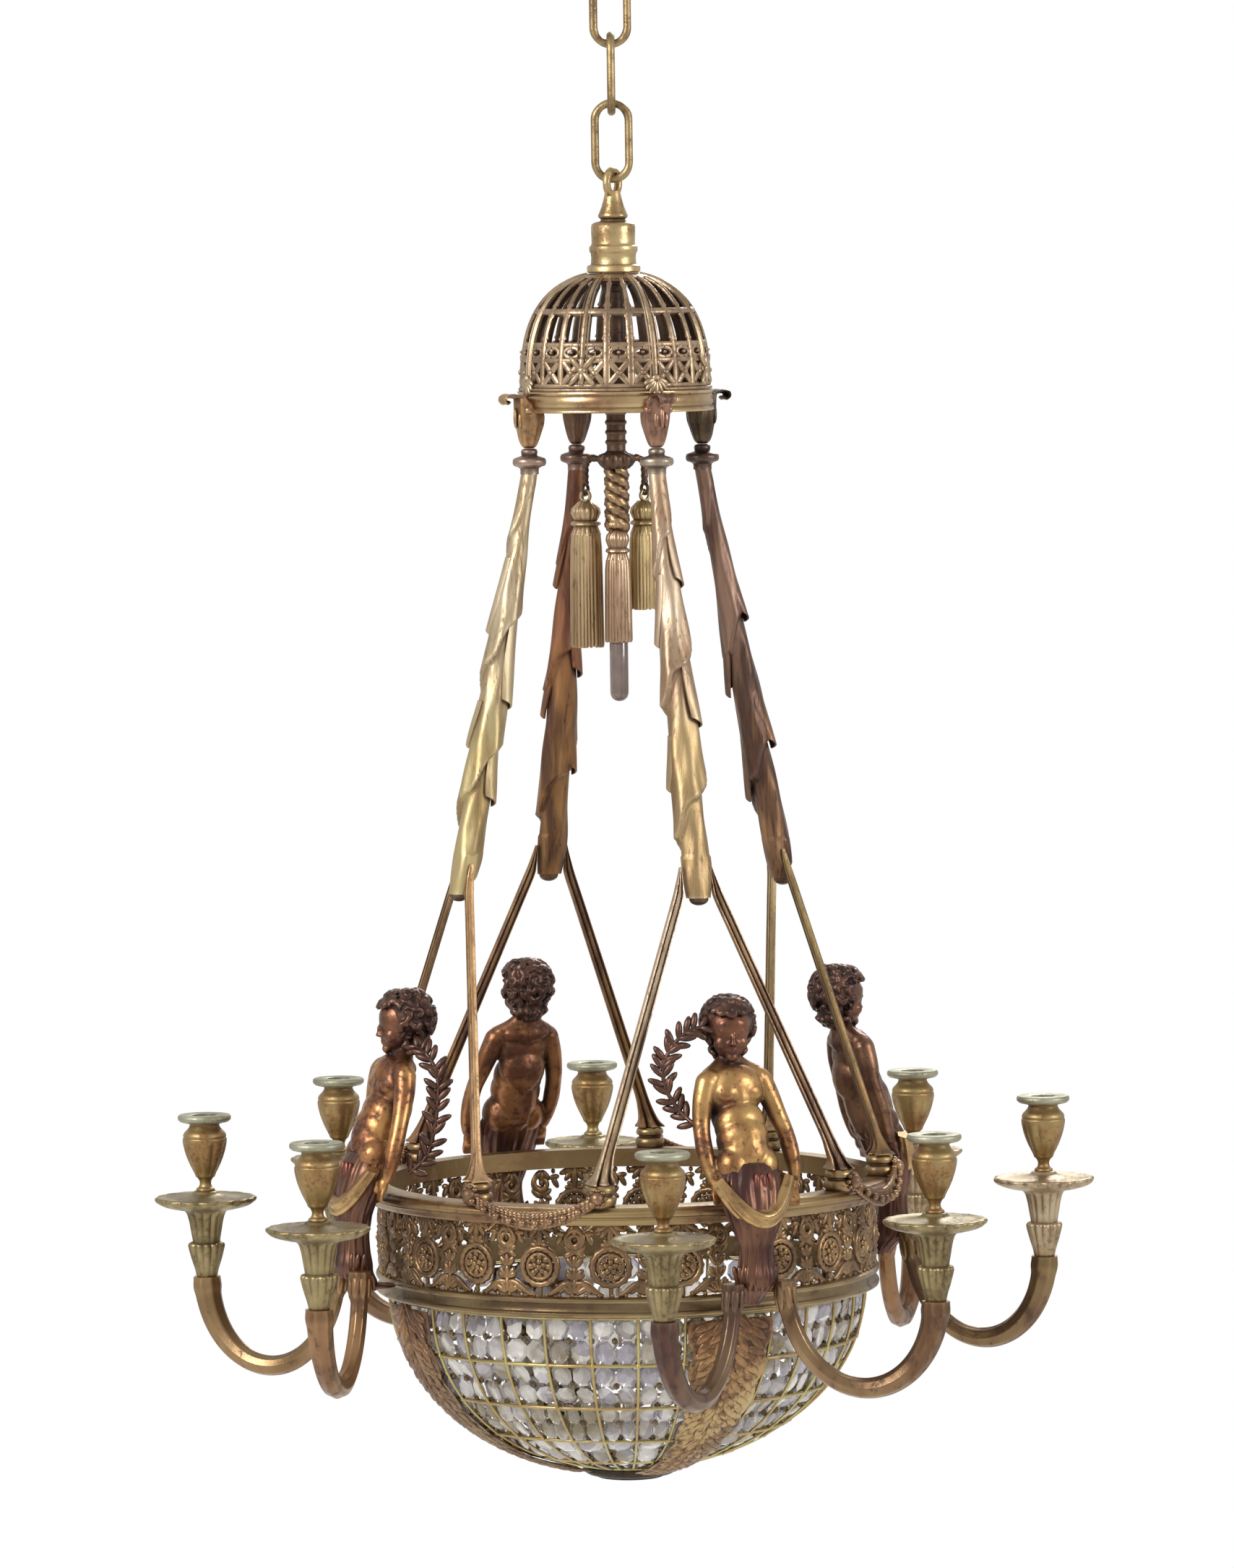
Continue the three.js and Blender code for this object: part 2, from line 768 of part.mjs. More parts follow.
// Child figure, half length: head with curls, bare trunk, a cloth swag and a bracket below.
function childFigure(withSpray) {
  const neck = galleryTop + neckRise;
  const trunk = [
    [neck + 12, headReach + 1, 9, 9],
    [neck, headReach + 2, 10, 9.5],
    [neck - 8, shoulderReach - 2, shoulderHalf + 1, 14],
    [neck - chestDrop, bellyReach - 8, 24, 18],
    [neck - bellyDrop, bellyReach + 2, 27, 21],
    [neck - waistDrop, hipReach - 8, 25, 20],
    [neck - hipDrop, hipReach, 31, 23],
    [neck - clothDrop, hipReach + 6, 25, 19],
    [neck - tieDrop, knotReach, 16, 14],
    [knotHeight + 10, knotReach, 15, 13],
    [knotHeight, knotReach, 18, 15],
    [lowerRimTop - 6, knotReach - 12, 8, 10],
  ];
  const body = loft(trunk.map(([height, reach, half, deep]) => level(at(reach, 0, height), half, deep, 8)));
  const headHeight = galleryTop + headRise;
  const skull = new THREE.SphereGeometry(1, 8, 5).rotateX(quarter).scale(20, 22, 26);
  skull.translate(0, -headReach - 2, headHeight - 4);
  const hair = curlyHair().translate(0, -headReach + 5, headHeight + 7);
  const limb = (points, radii) => loft(points.map((point, i) => level(point, radii[i], radii[i], 5)));
  const leftArm = limb([
    at(shoulderReach, -shoulderHalf, neck - 10),
    at(shoulderReach + 6, -shoulderHalf - 8, neck - 26),
    at(bellyReach - 12, -shoulderHalf - 11, neck - elbowDrop),
    at(bellyReach, -shoulderHalf - 8, neck - wristDrop),
    at(hipReach - 8, -shoulderHalf - 3, neck - hipDrop),
  ], [9, 9, 7, 6, 6]);
  const rightArm = limb([
    at(shoulderReach, shoulderHalf, neck - 10),
    at(shoulderReach + 6, shoulderHalf + 9, neck - 28),
    at(bellyReach - 5, shoulderHalf + 17, neck - elbowDrop + 2),
    at(bellyReach + 1, shoulderHalf + 21, neck - wristDrop - 2),
    at(bellyReach + 7, shoulderHalf + 13, neck - hipDrop - 4),
  ], [9, 9, 7, 6, 6]);
  const swag = loft(Array.from({ length: 5 }, (_, i) => {
    const t = i / 4 * 2 - 1;
    const centre = at(hipReach - 2 + 18 * (1 - t * t), swagHalf * t, neck - wristDrop - 2 - swagSag * (1 - t * t));
    const radius = 8 * (1 - 0.4 * t * t);
    return oval(centre, at(radius, 0, 0), new THREE.Vector3(0, 0, radius), 5);
  }));
  const block = (near, height, half) => new THREE.BoxGeometry(bracketWidth, hipReach - near, half * 2)
    .translate(0, -(near + hipReach) / 2, height);
  const rimBracket = block(galleryReach + upperRimWidth / 2 + seat, galleryTop - 6.5, 2.5);
  const bandBracket = block(lowerRimRadius + seat, lowerRimTop - 3, 3);
  const pieces = [body, skull, hair, leftArm, rightArm, swag, rimBracket, bandBracket];
  if (withSpray) {
    pieces.push(leafSpray(neck));
  }
  return joined(...pieces);
}

// Curly hair: a rounded cap whose surface swells and dips in rows of curls.
function curlyHair() {
  const columns = 10;
  const rows = 5;
  const rings = [];
  for (let i = 1; i < rows; i += 1) {
    const slope = i / rows * Math.PI;
    const ring = [];
    for (let j = 0; j < columns; j += 1) {
      const angle = j / columns * 2 * Math.PI;
      const swell = (i + j) % 2 === 0 ? 1.07 : 0.93;
      const radius = 25 * swell * Math.sin(slope);
      ring.push(new THREE.Vector3(radius * Math.cos(angle), radius * Math.sin(angle), 24 * swell * Math.cos(slope)));
    }
    rings.push(ring);
  }
  return loft(rings);
}

// Leaf spray: a bent twig with leaves that rises behind the figure's shoulder to its hair.
function leafSpray(neck) {
  const twig = new THREE.CatmullRomCurve3([
    at(shoulderReach - 8, 0, neck - 34),
    at(shoulderReach - 30, 0, neck - 30),
    at(shoulderReach - 36, 0, neck - 6),
    at(headReach - 27, 0, neck + 20),
    at(headReach - 16, 0, neck + 32),
  ]);
  const stem = tube(twig, 4, 4, () => 2.4, new THREE.Vector3(1, 0, 0));
  const leaves = [0.35, 0.65].map((t) => {
    const leaf = new THREE.SphereGeometry(1, 5, 3).scale(5, 8, 3);
    const place = twig.getPoint(t);
    return leaf.translate(place.x, place.y + 5, place.z);
  });
  return joined(stem, ...leaves);
}

// Candle arm: a horn-shaped U in an upright plane, from the figure's bracket up to the joint.
class ArmCurve extends THREE.Curve {
  constructor(start, end, drop) {
    super();
    this.start = start;
    this.end = end;
    this.drop = drop;
  }

  getPoint(t) {
    const angle = t * Math.PI;
    const across = (1 - Math.cos(angle)) / 2;
    const point = this.start.clone().lerp(this.end, across);
    point.z = this.start.z + (this.end.z - this.start.z) * t - this.drop * Math.sin(angle);
    return point;
  }
}

function candleArm(hand) {
  const start = at(armStartReach, hand * armStartOffset, knotHeight);
  const end = around(nozzleReach, hand * nozzleTurn, armJoint - seat);
  const curve = new ArmCurve(start, end, armDrop);
  const side = end.clone().sub(start).cross(new THREE.Vector3(0, 0, 1));
  const radiusAt = (t) => armStartRadius + (armEndRadius - armStartRadius) * t * t;
  return tube(curve, 9, 6, radiusAt, side);
}

// Drip pan on its leaf bell, which plugs over the arm's end.
function dripPan() {
  return turned([
    [0, armJoint],
    [9, armJoint],
    [15, armJoint + 22],
    [13.4, armJoint + 39],
    [16.5, panTop - 18],
    [38, panTop - 12],
    [panRadius, panTop - 7],
    [9, panTop],
    [0, panTop],
  ], 10);
}

// Urn nozzle with its flat rim and the socket that a candle stands in.
function urnNozzle() {
  const foot = panTop + seat;
  return turned([
    [0, foot],
    [8, foot],
    [5.2, foot + 7],
    [nozzleRadius, nozzleTop - 24],
    [candleRadius + 2, nozzleTop - 8.6],
    [nozzleRimRadius, nozzleTop - 4],
    [nozzleRimRadius, nozzleTop],
    [candleRadius, nozzleTop],
    [candleRadius, nozzleTop - candleDepth],
    [0, nozzleTop - candleDepth],
  ], 8);
}

// Bowl outline: a quarter ellipse, by a share that runs from 0 at the rim to 1 on the axis.
function bowlPoint(share, inset) {
  const angle = share * quarter;
  return [(bowlRadius - inset) * Math.cos(angle), bowlTop - (bowlDepth - inset) * Math.sin(angle)];
}

const cageInset = leafThickness + leafSeat;
const capShare = Math.acos(capRadius / bowlRadius) / quarter;

// Share of the outline where each hoop of the cage runs.
function hoopShare(row) {
  return row / cageRows * capShare;
}

// Cage: wire hoops and uprights, from a hoop under the rim to one round the cap.
function bowlCage() {
  const wire = 0.016;
  const half = 0.014;
  const levels = [0];
  for (let i = 0; i < cageRows; i += 1) {
    levels.push(hoopShare(i) + wire, hoopShare(i + 1) - wire);
  }
  levels.push(capShare);
  const pitch = 2 * Math.PI / cageColumns;
  const angles = Array.from({ length: cageColumns }, (_, i) => [i * pitch - half, i * pitch + half]).flat();
  const outer = (share) => bowlPoint(share, cageInset);
  const inner = (share) => bowlPoint(share, cageInset + cageWire);
  return lattice(outer, inner, angles, levels, (i, j) => i % 2 === 1 && j % 2 === 1);
}

// Crystal lining: the drops stand side by side and form an open bowl inside the cage.
function crystalBowl() {
  const inset = cageInset + cageWire + seat;
  const shares = Array.from({ length: cageRows + 1 }, (_, i) => hoopShare(i));
  const outside = shares.map((share) => bowlPoint(share, inset));
  const inside = shares.map((share) => bowlPoint(share, inset + bowlWall)).reverse();
  const foot = outside[cageRows][1];
  inside[cageRows][1] = bowlTop;
  return turned([[0, foot + bowlWall], ...inside, ...outside, [0, foot]], cageColumns);
}

// Leaf rib: a wide leaf that lies on the cage under a figure and narrows to the cap.
function leafRib() {
  const margin = 0.02;
  const rings = [];
  for (let i = 0; i <= cageRows; i += 1) {
    const share = THREE.MathUtils.clamp(hoopShare(i), margin, capShare - margin);
    const half = (leafTopWidth + (leafFootWidth - leafTopWidth) * i / cageRows) / 2;
    const outline = [[-1, 0], [0, 0], [1, 0], [1, leafThickness * 0.55], [0, leafThickness], [-1, leafThickness * 0.55]];
    rings.push(outline.map(([place, lift]) => {
      const [reach, height] = bowlPoint(share, leafThickness - lift);
      return around(reach, place * half / reach, height);
    }));
  }
  return loft(rings);
}

function bottomCap() {
  const top = bowlPoint(capShare, cageInset)[1] - seat;
  return turned([
    [0, top - capThickness],
    [capRadius * 0.7, top - capThickness],
    [capRadius, top - 4],
    [capRadius, top],
    [0, top],
  ], 14);
}

// Finishes
function bronze(color, roughness) {
  return new THREE.MeshStandardMaterial({ color, roughness, metalness: 0.9 });
}

const model = new THREE.Group();

function add(name, geometry, material, turn = 0) {
  const mesh = new THREE.Mesh(closed(geometry), material.clone());
  mesh.geometry.computeVertexNormals();
  mesh.name = name;
  mesh.rotation.z = turn;
  model.add(mesh);
  return mesh;
}

const gilt = bronze(0xb8924f, 0.38);
const oldGilt = bronze(0x9a7a44, 0.45);
const paleGilt = bronze(0xc9a671, 0.42);
const darkBronze = bronze(0x5a3826, 0.5);
const copperBronze = bronze(0xa8642f, 0.35);
const oliveGilt = bronze(0x8e8550, 0.5);
const crystal = new THREE.MeshStandardMaterial({ color: 0xe8ecec, roughness: 0.08, metalness: 0 });
const bulbGlass = new THREE.MeshStandardMaterial({ color: 0x6e6660, roughness: 0.2, metalness: 0 });

add('chain_link_top', chainLink(), oldGilt, chainTurn).position.z = topLinkHeight;
add('chain_link_middle', chainLink(), oldGilt, chainTurn + quarter).position.z = topLinkHeight - linkPitch;
add('chain_link_lower', chainLink(), oldGilt, chainTurn).position.z = lowestLinkHeight;
add('eye_finial', eyeFinial(), gilt);
add('pierced_dome', piercedDome(), gilt);
add('dome_ring', domeRing(), gilt);
add('centre_rod', centreRod(), darkBronze);
add('tassel_front', frontTassel(), paleGilt);
add('tassel_left', sideTassel(leftTasselPlace, leftTasselLength), paleGilt);
add('tassel_right', sideTassel(rightTasselPlace, rightTasselLength), paleGilt);
add('tubular_bulb', tubularBulb(), bulbGlass);

const sideNames = ['front', 'right', 'back', 'left'];
sideNames.forEach((side, k) => {
  const turn = k * quarter;
  add(`draped_stem_${side}`, drapedStem(), paleGilt, turn);
  add(`child_figure_${side}`, childFigure(side === 'front' || side === 'left'), copperBronze, turn);
  add(`leaf_rib_${side}`, leafRib(), gilt, turn);
  [[-1, 'a'], [1, 'b']].forEach(([hand, letter]) => {
    const name = `${side}_${letter}`;
    const place = around(nozzleReach, hand * nozzleTurn, 0).applyAxisAngle(new THREE.Vector3(0, 0, 1), turn);
    add(`ribbon_${name}`, ribbon(hand), gilt, turn);
    add(`candle_arm_${name}`, candleArm(hand), oldGilt, turn);
    add(`drip_pan_${name}`, dripPan(), oliveGilt, turn).position.set(place.x, place.y, 0);
    add(`nozzle_${name}`, urnNozzle(), oliveGilt, turn).position.set(place.x, place.y, 0);
  });
});

add('upper_rim', upperRim(), gilt);
add('rosette_frieze', rosetteFrieze(), oldGilt);
add('bowl_cage', bowlCage(), oldGilt);
add('crystal_bowl', crystalBowl(), crystal);
add('bottom_cap', bottomCap(), darkBronze);

export default model;
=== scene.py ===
from math import acos, atan2, copysign, cos, floor, hypot, pi, radians, sin

import bmesh
import bpy
import numpy as np
from mathutils import Matrix, Vector


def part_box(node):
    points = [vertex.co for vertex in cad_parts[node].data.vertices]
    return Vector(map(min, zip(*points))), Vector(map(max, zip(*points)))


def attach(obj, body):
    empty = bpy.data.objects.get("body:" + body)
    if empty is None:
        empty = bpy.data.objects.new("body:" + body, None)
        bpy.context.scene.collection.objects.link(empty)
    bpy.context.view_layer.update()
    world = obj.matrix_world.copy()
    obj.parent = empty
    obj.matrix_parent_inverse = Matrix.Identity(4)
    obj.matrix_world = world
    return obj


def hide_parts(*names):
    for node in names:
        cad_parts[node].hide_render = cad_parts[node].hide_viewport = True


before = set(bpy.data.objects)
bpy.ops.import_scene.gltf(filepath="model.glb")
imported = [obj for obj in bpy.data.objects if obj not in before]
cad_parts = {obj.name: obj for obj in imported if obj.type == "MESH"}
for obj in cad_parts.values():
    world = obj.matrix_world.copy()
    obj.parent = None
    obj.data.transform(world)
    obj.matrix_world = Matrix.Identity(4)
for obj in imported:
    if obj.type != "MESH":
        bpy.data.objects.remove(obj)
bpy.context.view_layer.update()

# Camera: the chandelier is seen from seven metres away, with the eye level with the dome,
# and the front figure turned to the viewer's right. The object hangs on the world's Z axis.
mm = 0.001
eye_distance = 7.03
eye_azimuth = radians(-24.8)
eye_height = -0.214
eye_aim_height = -0.6972
eye_pan = radians(0.027)
eye_roll = -0.014
focal_share = 11306 / 2170
toward_eye = Vector((sin(eye_azimuth), -cos(eye_azimuth), 0))
camera = bpy.data.objects.new("eye", bpy.data.cameras.new("eye"))
camera.data.sensor_width = 36
camera.data.lens = 36 * focal_share
camera.data.clip_end = 60
camera.location = toward_eye * eye_distance + Vector((0, 0, eye_height))
line_of_sight = Vector((0, 0, eye_aim_height)) - camera.location
aimed = line_of_sight.to_track_quat("-Z", "Y").to_matrix().to_4x4()
aimed = Matrix.Rotation(eye_pan, 4, "Z") @ aimed @ Matrix.Rotation(eye_roll, 4, "Z")
camera.rotation_euler = aimed.to_euler()
scene = bpy.context.scene
scene.collection.objects.link(camera)
scene.camera = camera
scene.view_settings.view_transform = "Standard"


# Studio: a white room with a pale floor well below the lamp. The room shows white to the
# eye and in the metal, and the floor keeps the soft shadow of the chandelier.
class Signal:
    """A value that runs between shader nodes. Arithmetic on it adds Math nodes."""

    def __init__(self, sheet, socket):
        self.sheet = sheet
        self.socket = socket

    def math(self, operation, first, second, clamp=False):
        return self.sheet.node("ShaderNodeMath", {"operation": operation, "use_clamp": clamp},
            {0: first, 1: second})

    def __add__(self, other):
        return self.math("ADD", self, other)

    def __radd__(self, other):
        return self.math("ADD", other, self)

    def __sub__(self, other):
        return self.math("SUBTRACT", self, other)

    def __rsub__(self, other):
        return self.math("SUBTRACT", other, self)

    def __mul__(self, other):
        return self.math("MULTIPLY", self, other)

    def __rmul__(self, other):
        return self.math("MULTIPLY", other, self)

    def held(self):
        """The value kept between 0 and 1."""
        return self.math("ADD", self, 0.0, clamp=True)


class Sheet:
    """The node sheet of one material or world, with one method that adds a node."""

    def __init__(self, owner):
        owner.use_nodes = True
        self.owner = owner
        self.tree = owner.node_tree
        self.tree.nodes.clear()

    def node(self, kind, settings=None, sockets=None, out=0):
        made = self.tree.nodes.new(kind)
        for name, value in (settings or {}).items():
            setattr(made, name, value)
        for name, value in (sockets or {}).items():
            socket = made.inputs[name]
            if isinstance(value, Signal):
                self.tree.links.new(value.socket, socket)
            elif socket.type == "RGBA":
                socket.default_value = (*value, 1)
            else:
                socket.default_value = value
        return Signal(self, made.outputs[out]) if made.outputs else made

    def mixed(self, share, first, second):
        """The first colour at 0 and the second at 1."""
        return self.node("ShaderNodeMix", {"data_type": "RGBA"}, {0: share, 6: first, 7: second},
            out=2)

    def ramp(self, value, start, end):
        """0 up to the start value and 1 past the end value."""
        return self.node("ShaderNodeMapRange", None, {"Value": value, "From Min": start,
            "From Max": end})

    def noise(self, place, scale, detail, roughness=0.5):
        return self.node("ShaderNodeTexNoise", None, {
            "Vector": place, "Scale": scale, "Detail": detail, "Roughness": roughness})

    def finished(self, sockets):
        """Ends the sheet in one Principled shader and gives its material."""
        shader = self.node("ShaderNodeBsdfPrincipled", None, sockets)
        self.node("ShaderNodeOutputMaterial", None, {"Surface": shader})
        return self.owner


def studio_room():
    world = bpy.data.worlds.new("white_room")
    scene.world = world
    sheet = Sheet(world)
    camera_ray, glossy_ray, clear_ray = (
        sheet.node("ShaderNodeLightPath", out=index) for index in (0, 3, 6))
    lit, mirrored, white = (
        sheet.node("ShaderNodeBackground", None, {"Color": tone, "Strength": strength})
        for tone, strength in (((1, 0.99, 0.97), 0.60), ((1, 0.99, 0.97), 0.70), ((1, 1, 1), 1.0)))
    room = sheet.node("ShaderNodeMixShader", None, {0: glossy_ray, 1: lit, 2: mirrored})
    direct = (camera_ray + clear_ray).held()
    room = sheet.node("ShaderNodeMixShader", None, {0: direct, 1: room, 2: white})
    sheet.node("ShaderNodeOutputWorld", None, {"Surface": room})


def studio_floor():
    floor_height, half = -2.3, 14
    shadow_reach, white_reach = 2.4, 3.4
    bm = bmesh.new()
    bmesh.ops.create_grid(bm, x_segments=1, y_segments=1, size=half)
    bmesh.ops.translate(bm, vec=(0, 0, floor_height), verts=bm.verts)
    mesh = bpy.data.meshes.new("pale_floor")
    bm.to_mesh(mesh)
    bm.free()
    floor = bpy.data.objects.new("pale_floor", mesh)
    scene.collection.objects.link(floor)
    sheet = Sheet(bpy.data.materials.new("pale_floor"))
    matt = sheet.node("ShaderNodeBsdfPrincipled", None,
        {"Base Color": (0.93, 0.93, 0.92), "Roughness": 0.9})
    white = sheet.node("ShaderNodeEmission", None, {"Color": (1, 1, 1), "Strength": 1.0})
    place = sheet.node("ShaderNodeTexCoord", out=3)
    away = sheet.node("ShaderNodeVectorMath", {"operation": "LENGTH"}, {0: place}, out=1)
    camera_ray = sheet.node("ShaderNodeLightPath", out=0)
    clear_ray = sheet.node("ShaderNodeLightPath", out=6)
    share = (camera_ray + clear_ray).held() * sheet.ramp(away, shadow_reach, white_reach)
    both = sheet.node("ShaderNodeMixShader", None, {0: share, 1: matt, 2: white})
    sheet.node("ShaderNodeOutputMaterial", None, {"Surface": both})
    floor.data.materials.append(sheet.owner)


def soft_lamp(name, azimuth, height, distance, size, power):
    lamp = bpy.data.lights.new(name, "AREA")
    lamp.size = size
    lamp.energy = power
    holder = bpy.data.objects.new(name, lamp)
    angle = eye_azimuth + radians(azimuth)
    target = Vector((0, 0, -0.75))
    holder.location = Vector((sin(angle), -cos(angle), 0)) * distance + Vector((0, 0, height))
    holder.rotation_euler = (target - holder.location).to_track_quat("-Z", "Y").to_euler()
    scene.collection.objects.link(holder)


studio_room()
studio_floor()
soft_lamp("key_lamp", -48, 1.4, 4.2, 1.6, 150)
soft_lamp("side_lamp", 62, 0.5, 4.4, 1.2, 70)
soft_lamp("rim_lamp", 165, 1.6, 4.0, 1.4, 70)


# Chain: three cast links of round wire, gilt and dulled with age. The top link takes the
# ceiling hook, each link hangs in the one above, and the last one carries the finial's eye.
upright = Vector((0, 0, 1))


def carried(part, bm):
    """Adds a finished part to the piece's mesh."""
    mesh = bpy.data.meshes.new("part")
    part.to_mesh(mesh)
    part.free()
    bm.from_mesh(mesh)
    bpy.data.meshes.remove(mesh)


def swept(bm, rings, endless=False):
    """Lays a grid along rings of points and joins its seam. Its open ends are filled later."""
    rows = rings + [rings[0]] if endless else rings
    around = len(rings[0])
    part = bmesh.new()
    net = bmesh.ops.create_grid(part, x_segments=around, y_segments=len(rows) - 1, size=1)["verts"]
    for number, vert in enumerate(net):
        vert.co = rows[number // (around + 1)][number % (around + 1) % around]
    bmesh.ops.remove_doubles(part, verts=net, dist=1e-7)
    carried(part, bm)


def circle(count):
    """The angles of a full turn in equal steps."""
    return [step / count * 2 * pi for step in range(count)]


def oval(centre, first, second, count):
    """Points of an oval round a centre, spanned by two vectors."""
    return [centre + first * cos(angle) + second * sin(angle) for angle in circle(count)]


def mark_hollows(mesh, gain=2.2):
    """Stores how hollow the surface is at each point: 0 on an edge, 0.5 flat, 1 in a groove."""
    passes = 3
    count = len(mesh.vertices)
    place = np.empty(count * 3)
    normal = np.empty(count * 3)
    mesh.vertices.foreach_get("co", place)
    mesh.vertices.foreach_get("normal", normal)
    place, normal = place.reshape(-1, 3), normal.reshape(-1, 3)
    ends = np.empty(len(mesh.edges) * 2, dtype=np.int64)
    mesh.edges.foreach_get("vertices", ends)
    a, b = ends.reshape(-1, 2).T
    along = place[b] - place[a]
    along /= np.maximum(np.linalg.norm(along, axis=1, keepdims=True), 1e-9)
    total = np.zeros(count)
    links = np.full(count, 1e-9)
    np.add.at(total, a, (normal[a] * along).sum(axis=1))
    np.add.at(total, b, -(normal[b] * along).sum(axis=1))
    np.add.at(links, a, 1)
    np.add.at(links, b, 1)
    value = total / links
    for _ in range(passes):
        near = np.zeros(count)
        np.add.at(near, a, value[b])
        np.add.at(near, b, value[a])
        value = 0.5 * value + 0.5 * near / links
    store = mesh.attributes.new("hollow", "FLOAT", "POINT")
    store.data.foreach_set("value", np.clip(0.5 + gain * value, 0, 1).astype(np.float32))


def shaped(bm, name, sharp=38):
    """The finished mesh of a piece, with its outside out, its hollows noted and its shading set."""
    bmesh.ops.holes_fill(bm, edges=[edge for edge in bm.edges if edge.is_boundary], sides=0)
    bmesh.ops.recalc_face_normals(bm, faces=bm.faces)
    mesh = bpy.data.meshes.new(name)
    bm.to_mesh(mesh)
    bm.free()
    mark_hollows(mesh)
    mesh.shade_smooth()
    mesh.set_sharp_from_angle(angle=radians(sharp))
    return mesh


def placed(mesh, finish, node, name=None, turn=None, body="lamp_frame"):
    """Puts a piece in the scene on its body, in place of its plain solid."""
    piece = bpy.data.objects.new(name or mesh.name, mesh if turn is None else mesh.copy())
    scene.collection.objects.link(piece)
    if turn is not None:
        piece.data.transform(turn)
    piece.data.materials.clear()
    piece.data.materials.append(finish)
    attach(piece, body)
    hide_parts(node)


def gilding(name, bright, middle, dark, patch=30, streak=1.0, roughness=0.36, age=0.5, depth=7,
        below=None):
    """Gilt bronze: two tones in soft patches and brown where it has worn off.
    Hollows darken with patina and with painted shade from an occlusion node,
    and edges lighten with worn gilt and a painted highlight.
    Below is a height, the spread of the change there and the two tones under it."""
    sheet = Sheet(bpy.data.materials.new(name))
    place = sheet.node("ShaderNodeTexCoord", out=3)
    drawn = sheet.node("ShaderNodeMapping", None, {"Vector": place, "Scale": (1, 1, 1 / streak)})
    broad = sheet.noise(drawn, patch, 3.0, 0.55)
    fine = sheet.noise(drawn, patch * 8, 4.0, 0.65)
    grain = sheet.noise(place, 1400.0, 2.0)
    hollow = sheet.node("ShaderNodeAttribute", {"attribute_name": "hollow"}, out=2)
    # Painted shade: the occlusion share and the grooves darken hollows and places between parts,
    # over real patina.
    open_share = sheet.node("ShaderNodeAmbientOcclusion", {"samples": 5, "only_local": True},
        {"Distance": depth * mm}, out=1)
    patina_and_shade = sheet.ramp(open_share - hollow * 0.5 + (fine - 0.5) * 0.5, 0.66, 0.14)
    worn = sheet.ramp(fine * 0.62 + broad * 0.38, 0.60 - 0.12 * age, 0.66 - 0.10 * age)
    # Edges and ridges lighter: gilt worn bright there, and a painted highlight.
    edge_wear_and_highlight = sheet.ramp(hollow + (fine - 0.5) * 0.3, 0.40, 0.12)
    worn_tone = tuple(0.4 * a + 0.6 * b for a, b in zip(middle, dark))
    edge_wear_highlight_tone = tuple(min(1.0, part * 1.3) for part in bright)
    if below:
        level, spread, low_bright, low_middle = below
        height = sheet.node("ShaderNodeSeparateXYZ", None, {"Vector": place}, out=2)
        lower = sheet.ramp(height + (broad - 0.5) * spread, level + spread / 2, level - spread / 2)
        bright = sheet.mixed(lower, bright, low_bright)
        middle = sheet.mixed(lower, middle, low_middle)
    base = sheet.mixed(sheet.ramp(broad, 0.38, 0.60), bright, middle)
    base = sheet.mixed((worn * 0.8).held(), base, worn_tone)
    # Edges take the lighter tone: worn gilt and a painted highlight.
    base = sheet.mixed((edge_wear_and_highlight * 0.3).held(), base, edge_wear_highlight_tone)
    # Hollows take the dark tone: patina and painted shade.
    base = sheet.mixed((patina_and_shade * 0.96).held(), base, dark)
    bump = sheet.node("ShaderNodeBump", None, {"Strength": 0.45, "Distance": 0.0005,
        "Height": grain * 0.4 + fine})
    return sheet.finished({
        "Base Color": base, "Normal": bump, "Coat Weight": 0.12, "Coat Roughness": 0.3,
        "Roughness": (patina_and_shade * 0.25 + worn * 0.14 + fine * 0.24 + (roughness - 0.12)).held(),
        "Metallic": (0.92 - patina_and_shade * 0.4 - worn * 0.2).held()})


def chain_link(node):
    low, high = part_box(node)
    centre = (low + high) / 2
    wire = 3.5 * mm
    half_height = (high.z - low.z) / 2
    half_width = 18 * mm
    bend = half_width - wire
    straight = half_height - half_width
    plane_turn = eye_azimuth + (pi / 2 if node == "chain_link_middle" else 0)
    side = Vector((cos(plane_turn), sin(plane_turn), 0))
    across = Vector((-side.y, side.x, 0))
    steps = 18
    rings = []
    for start, lift in ((0, straight), (pi, -straight)):
        for i in range(steps + 1):
            angle = start + i / steps * pi
            outward = side * cos(angle) + upright * sin(angle)
            middle = centre + outward * bend + Vector((0, 0, lift))
            uneven = 1 + 0.05 * sin(5 * angle + centre.z * 90)
            rings.append(oval(middle, outward * wire * uneven * 0.985, across * wire, 16))
    bm = bmesh.new()
    swept(bm, rings, endless=True)
    return shaped(bm, node + "_wire")


old_chain = gilding("old_chain_gilt", (0.36, 0.26, 0.13), (0.20, 0.13, 0.06), (0.05, 0.025, 0.012),
    patch=60, roughness=0.4)
for link, link_body in (("top", "hook_link"), ("middle", "middle_link"), ("lower", "lower_link")):
    link_node = "chain_link_" + link
    placed(chain_link(link_node), old_chain, link_node, body=link_body)


# Finial: a cast eye on a cone, then a turned neck and a flared foot that screws down on
# the rod above the dome. Gilt bronze, brown with patina and painted shade in its grooves.
def eased(points, count):
    """A smooth run of points through the given ones."""
    run = []
    padded = [points[0], *points, points[-1]]
    for i in range(len(points) - 1):
        p0, p1, p2, p3 = (Vector(point) for point in padded[i:i + 4])
        for j in range(count):
            t = j / count
            run.append(0.5 * (2 * p1 + (p2 - p0) * t + (2 * p0 - 5 * p1 + 4 * p2 - p3) * t ** 2
                              + (3 * p1 - p0 - 3 * p2 + p3) * t ** 3))
    run.append(Vector(points[-1]))
    return run


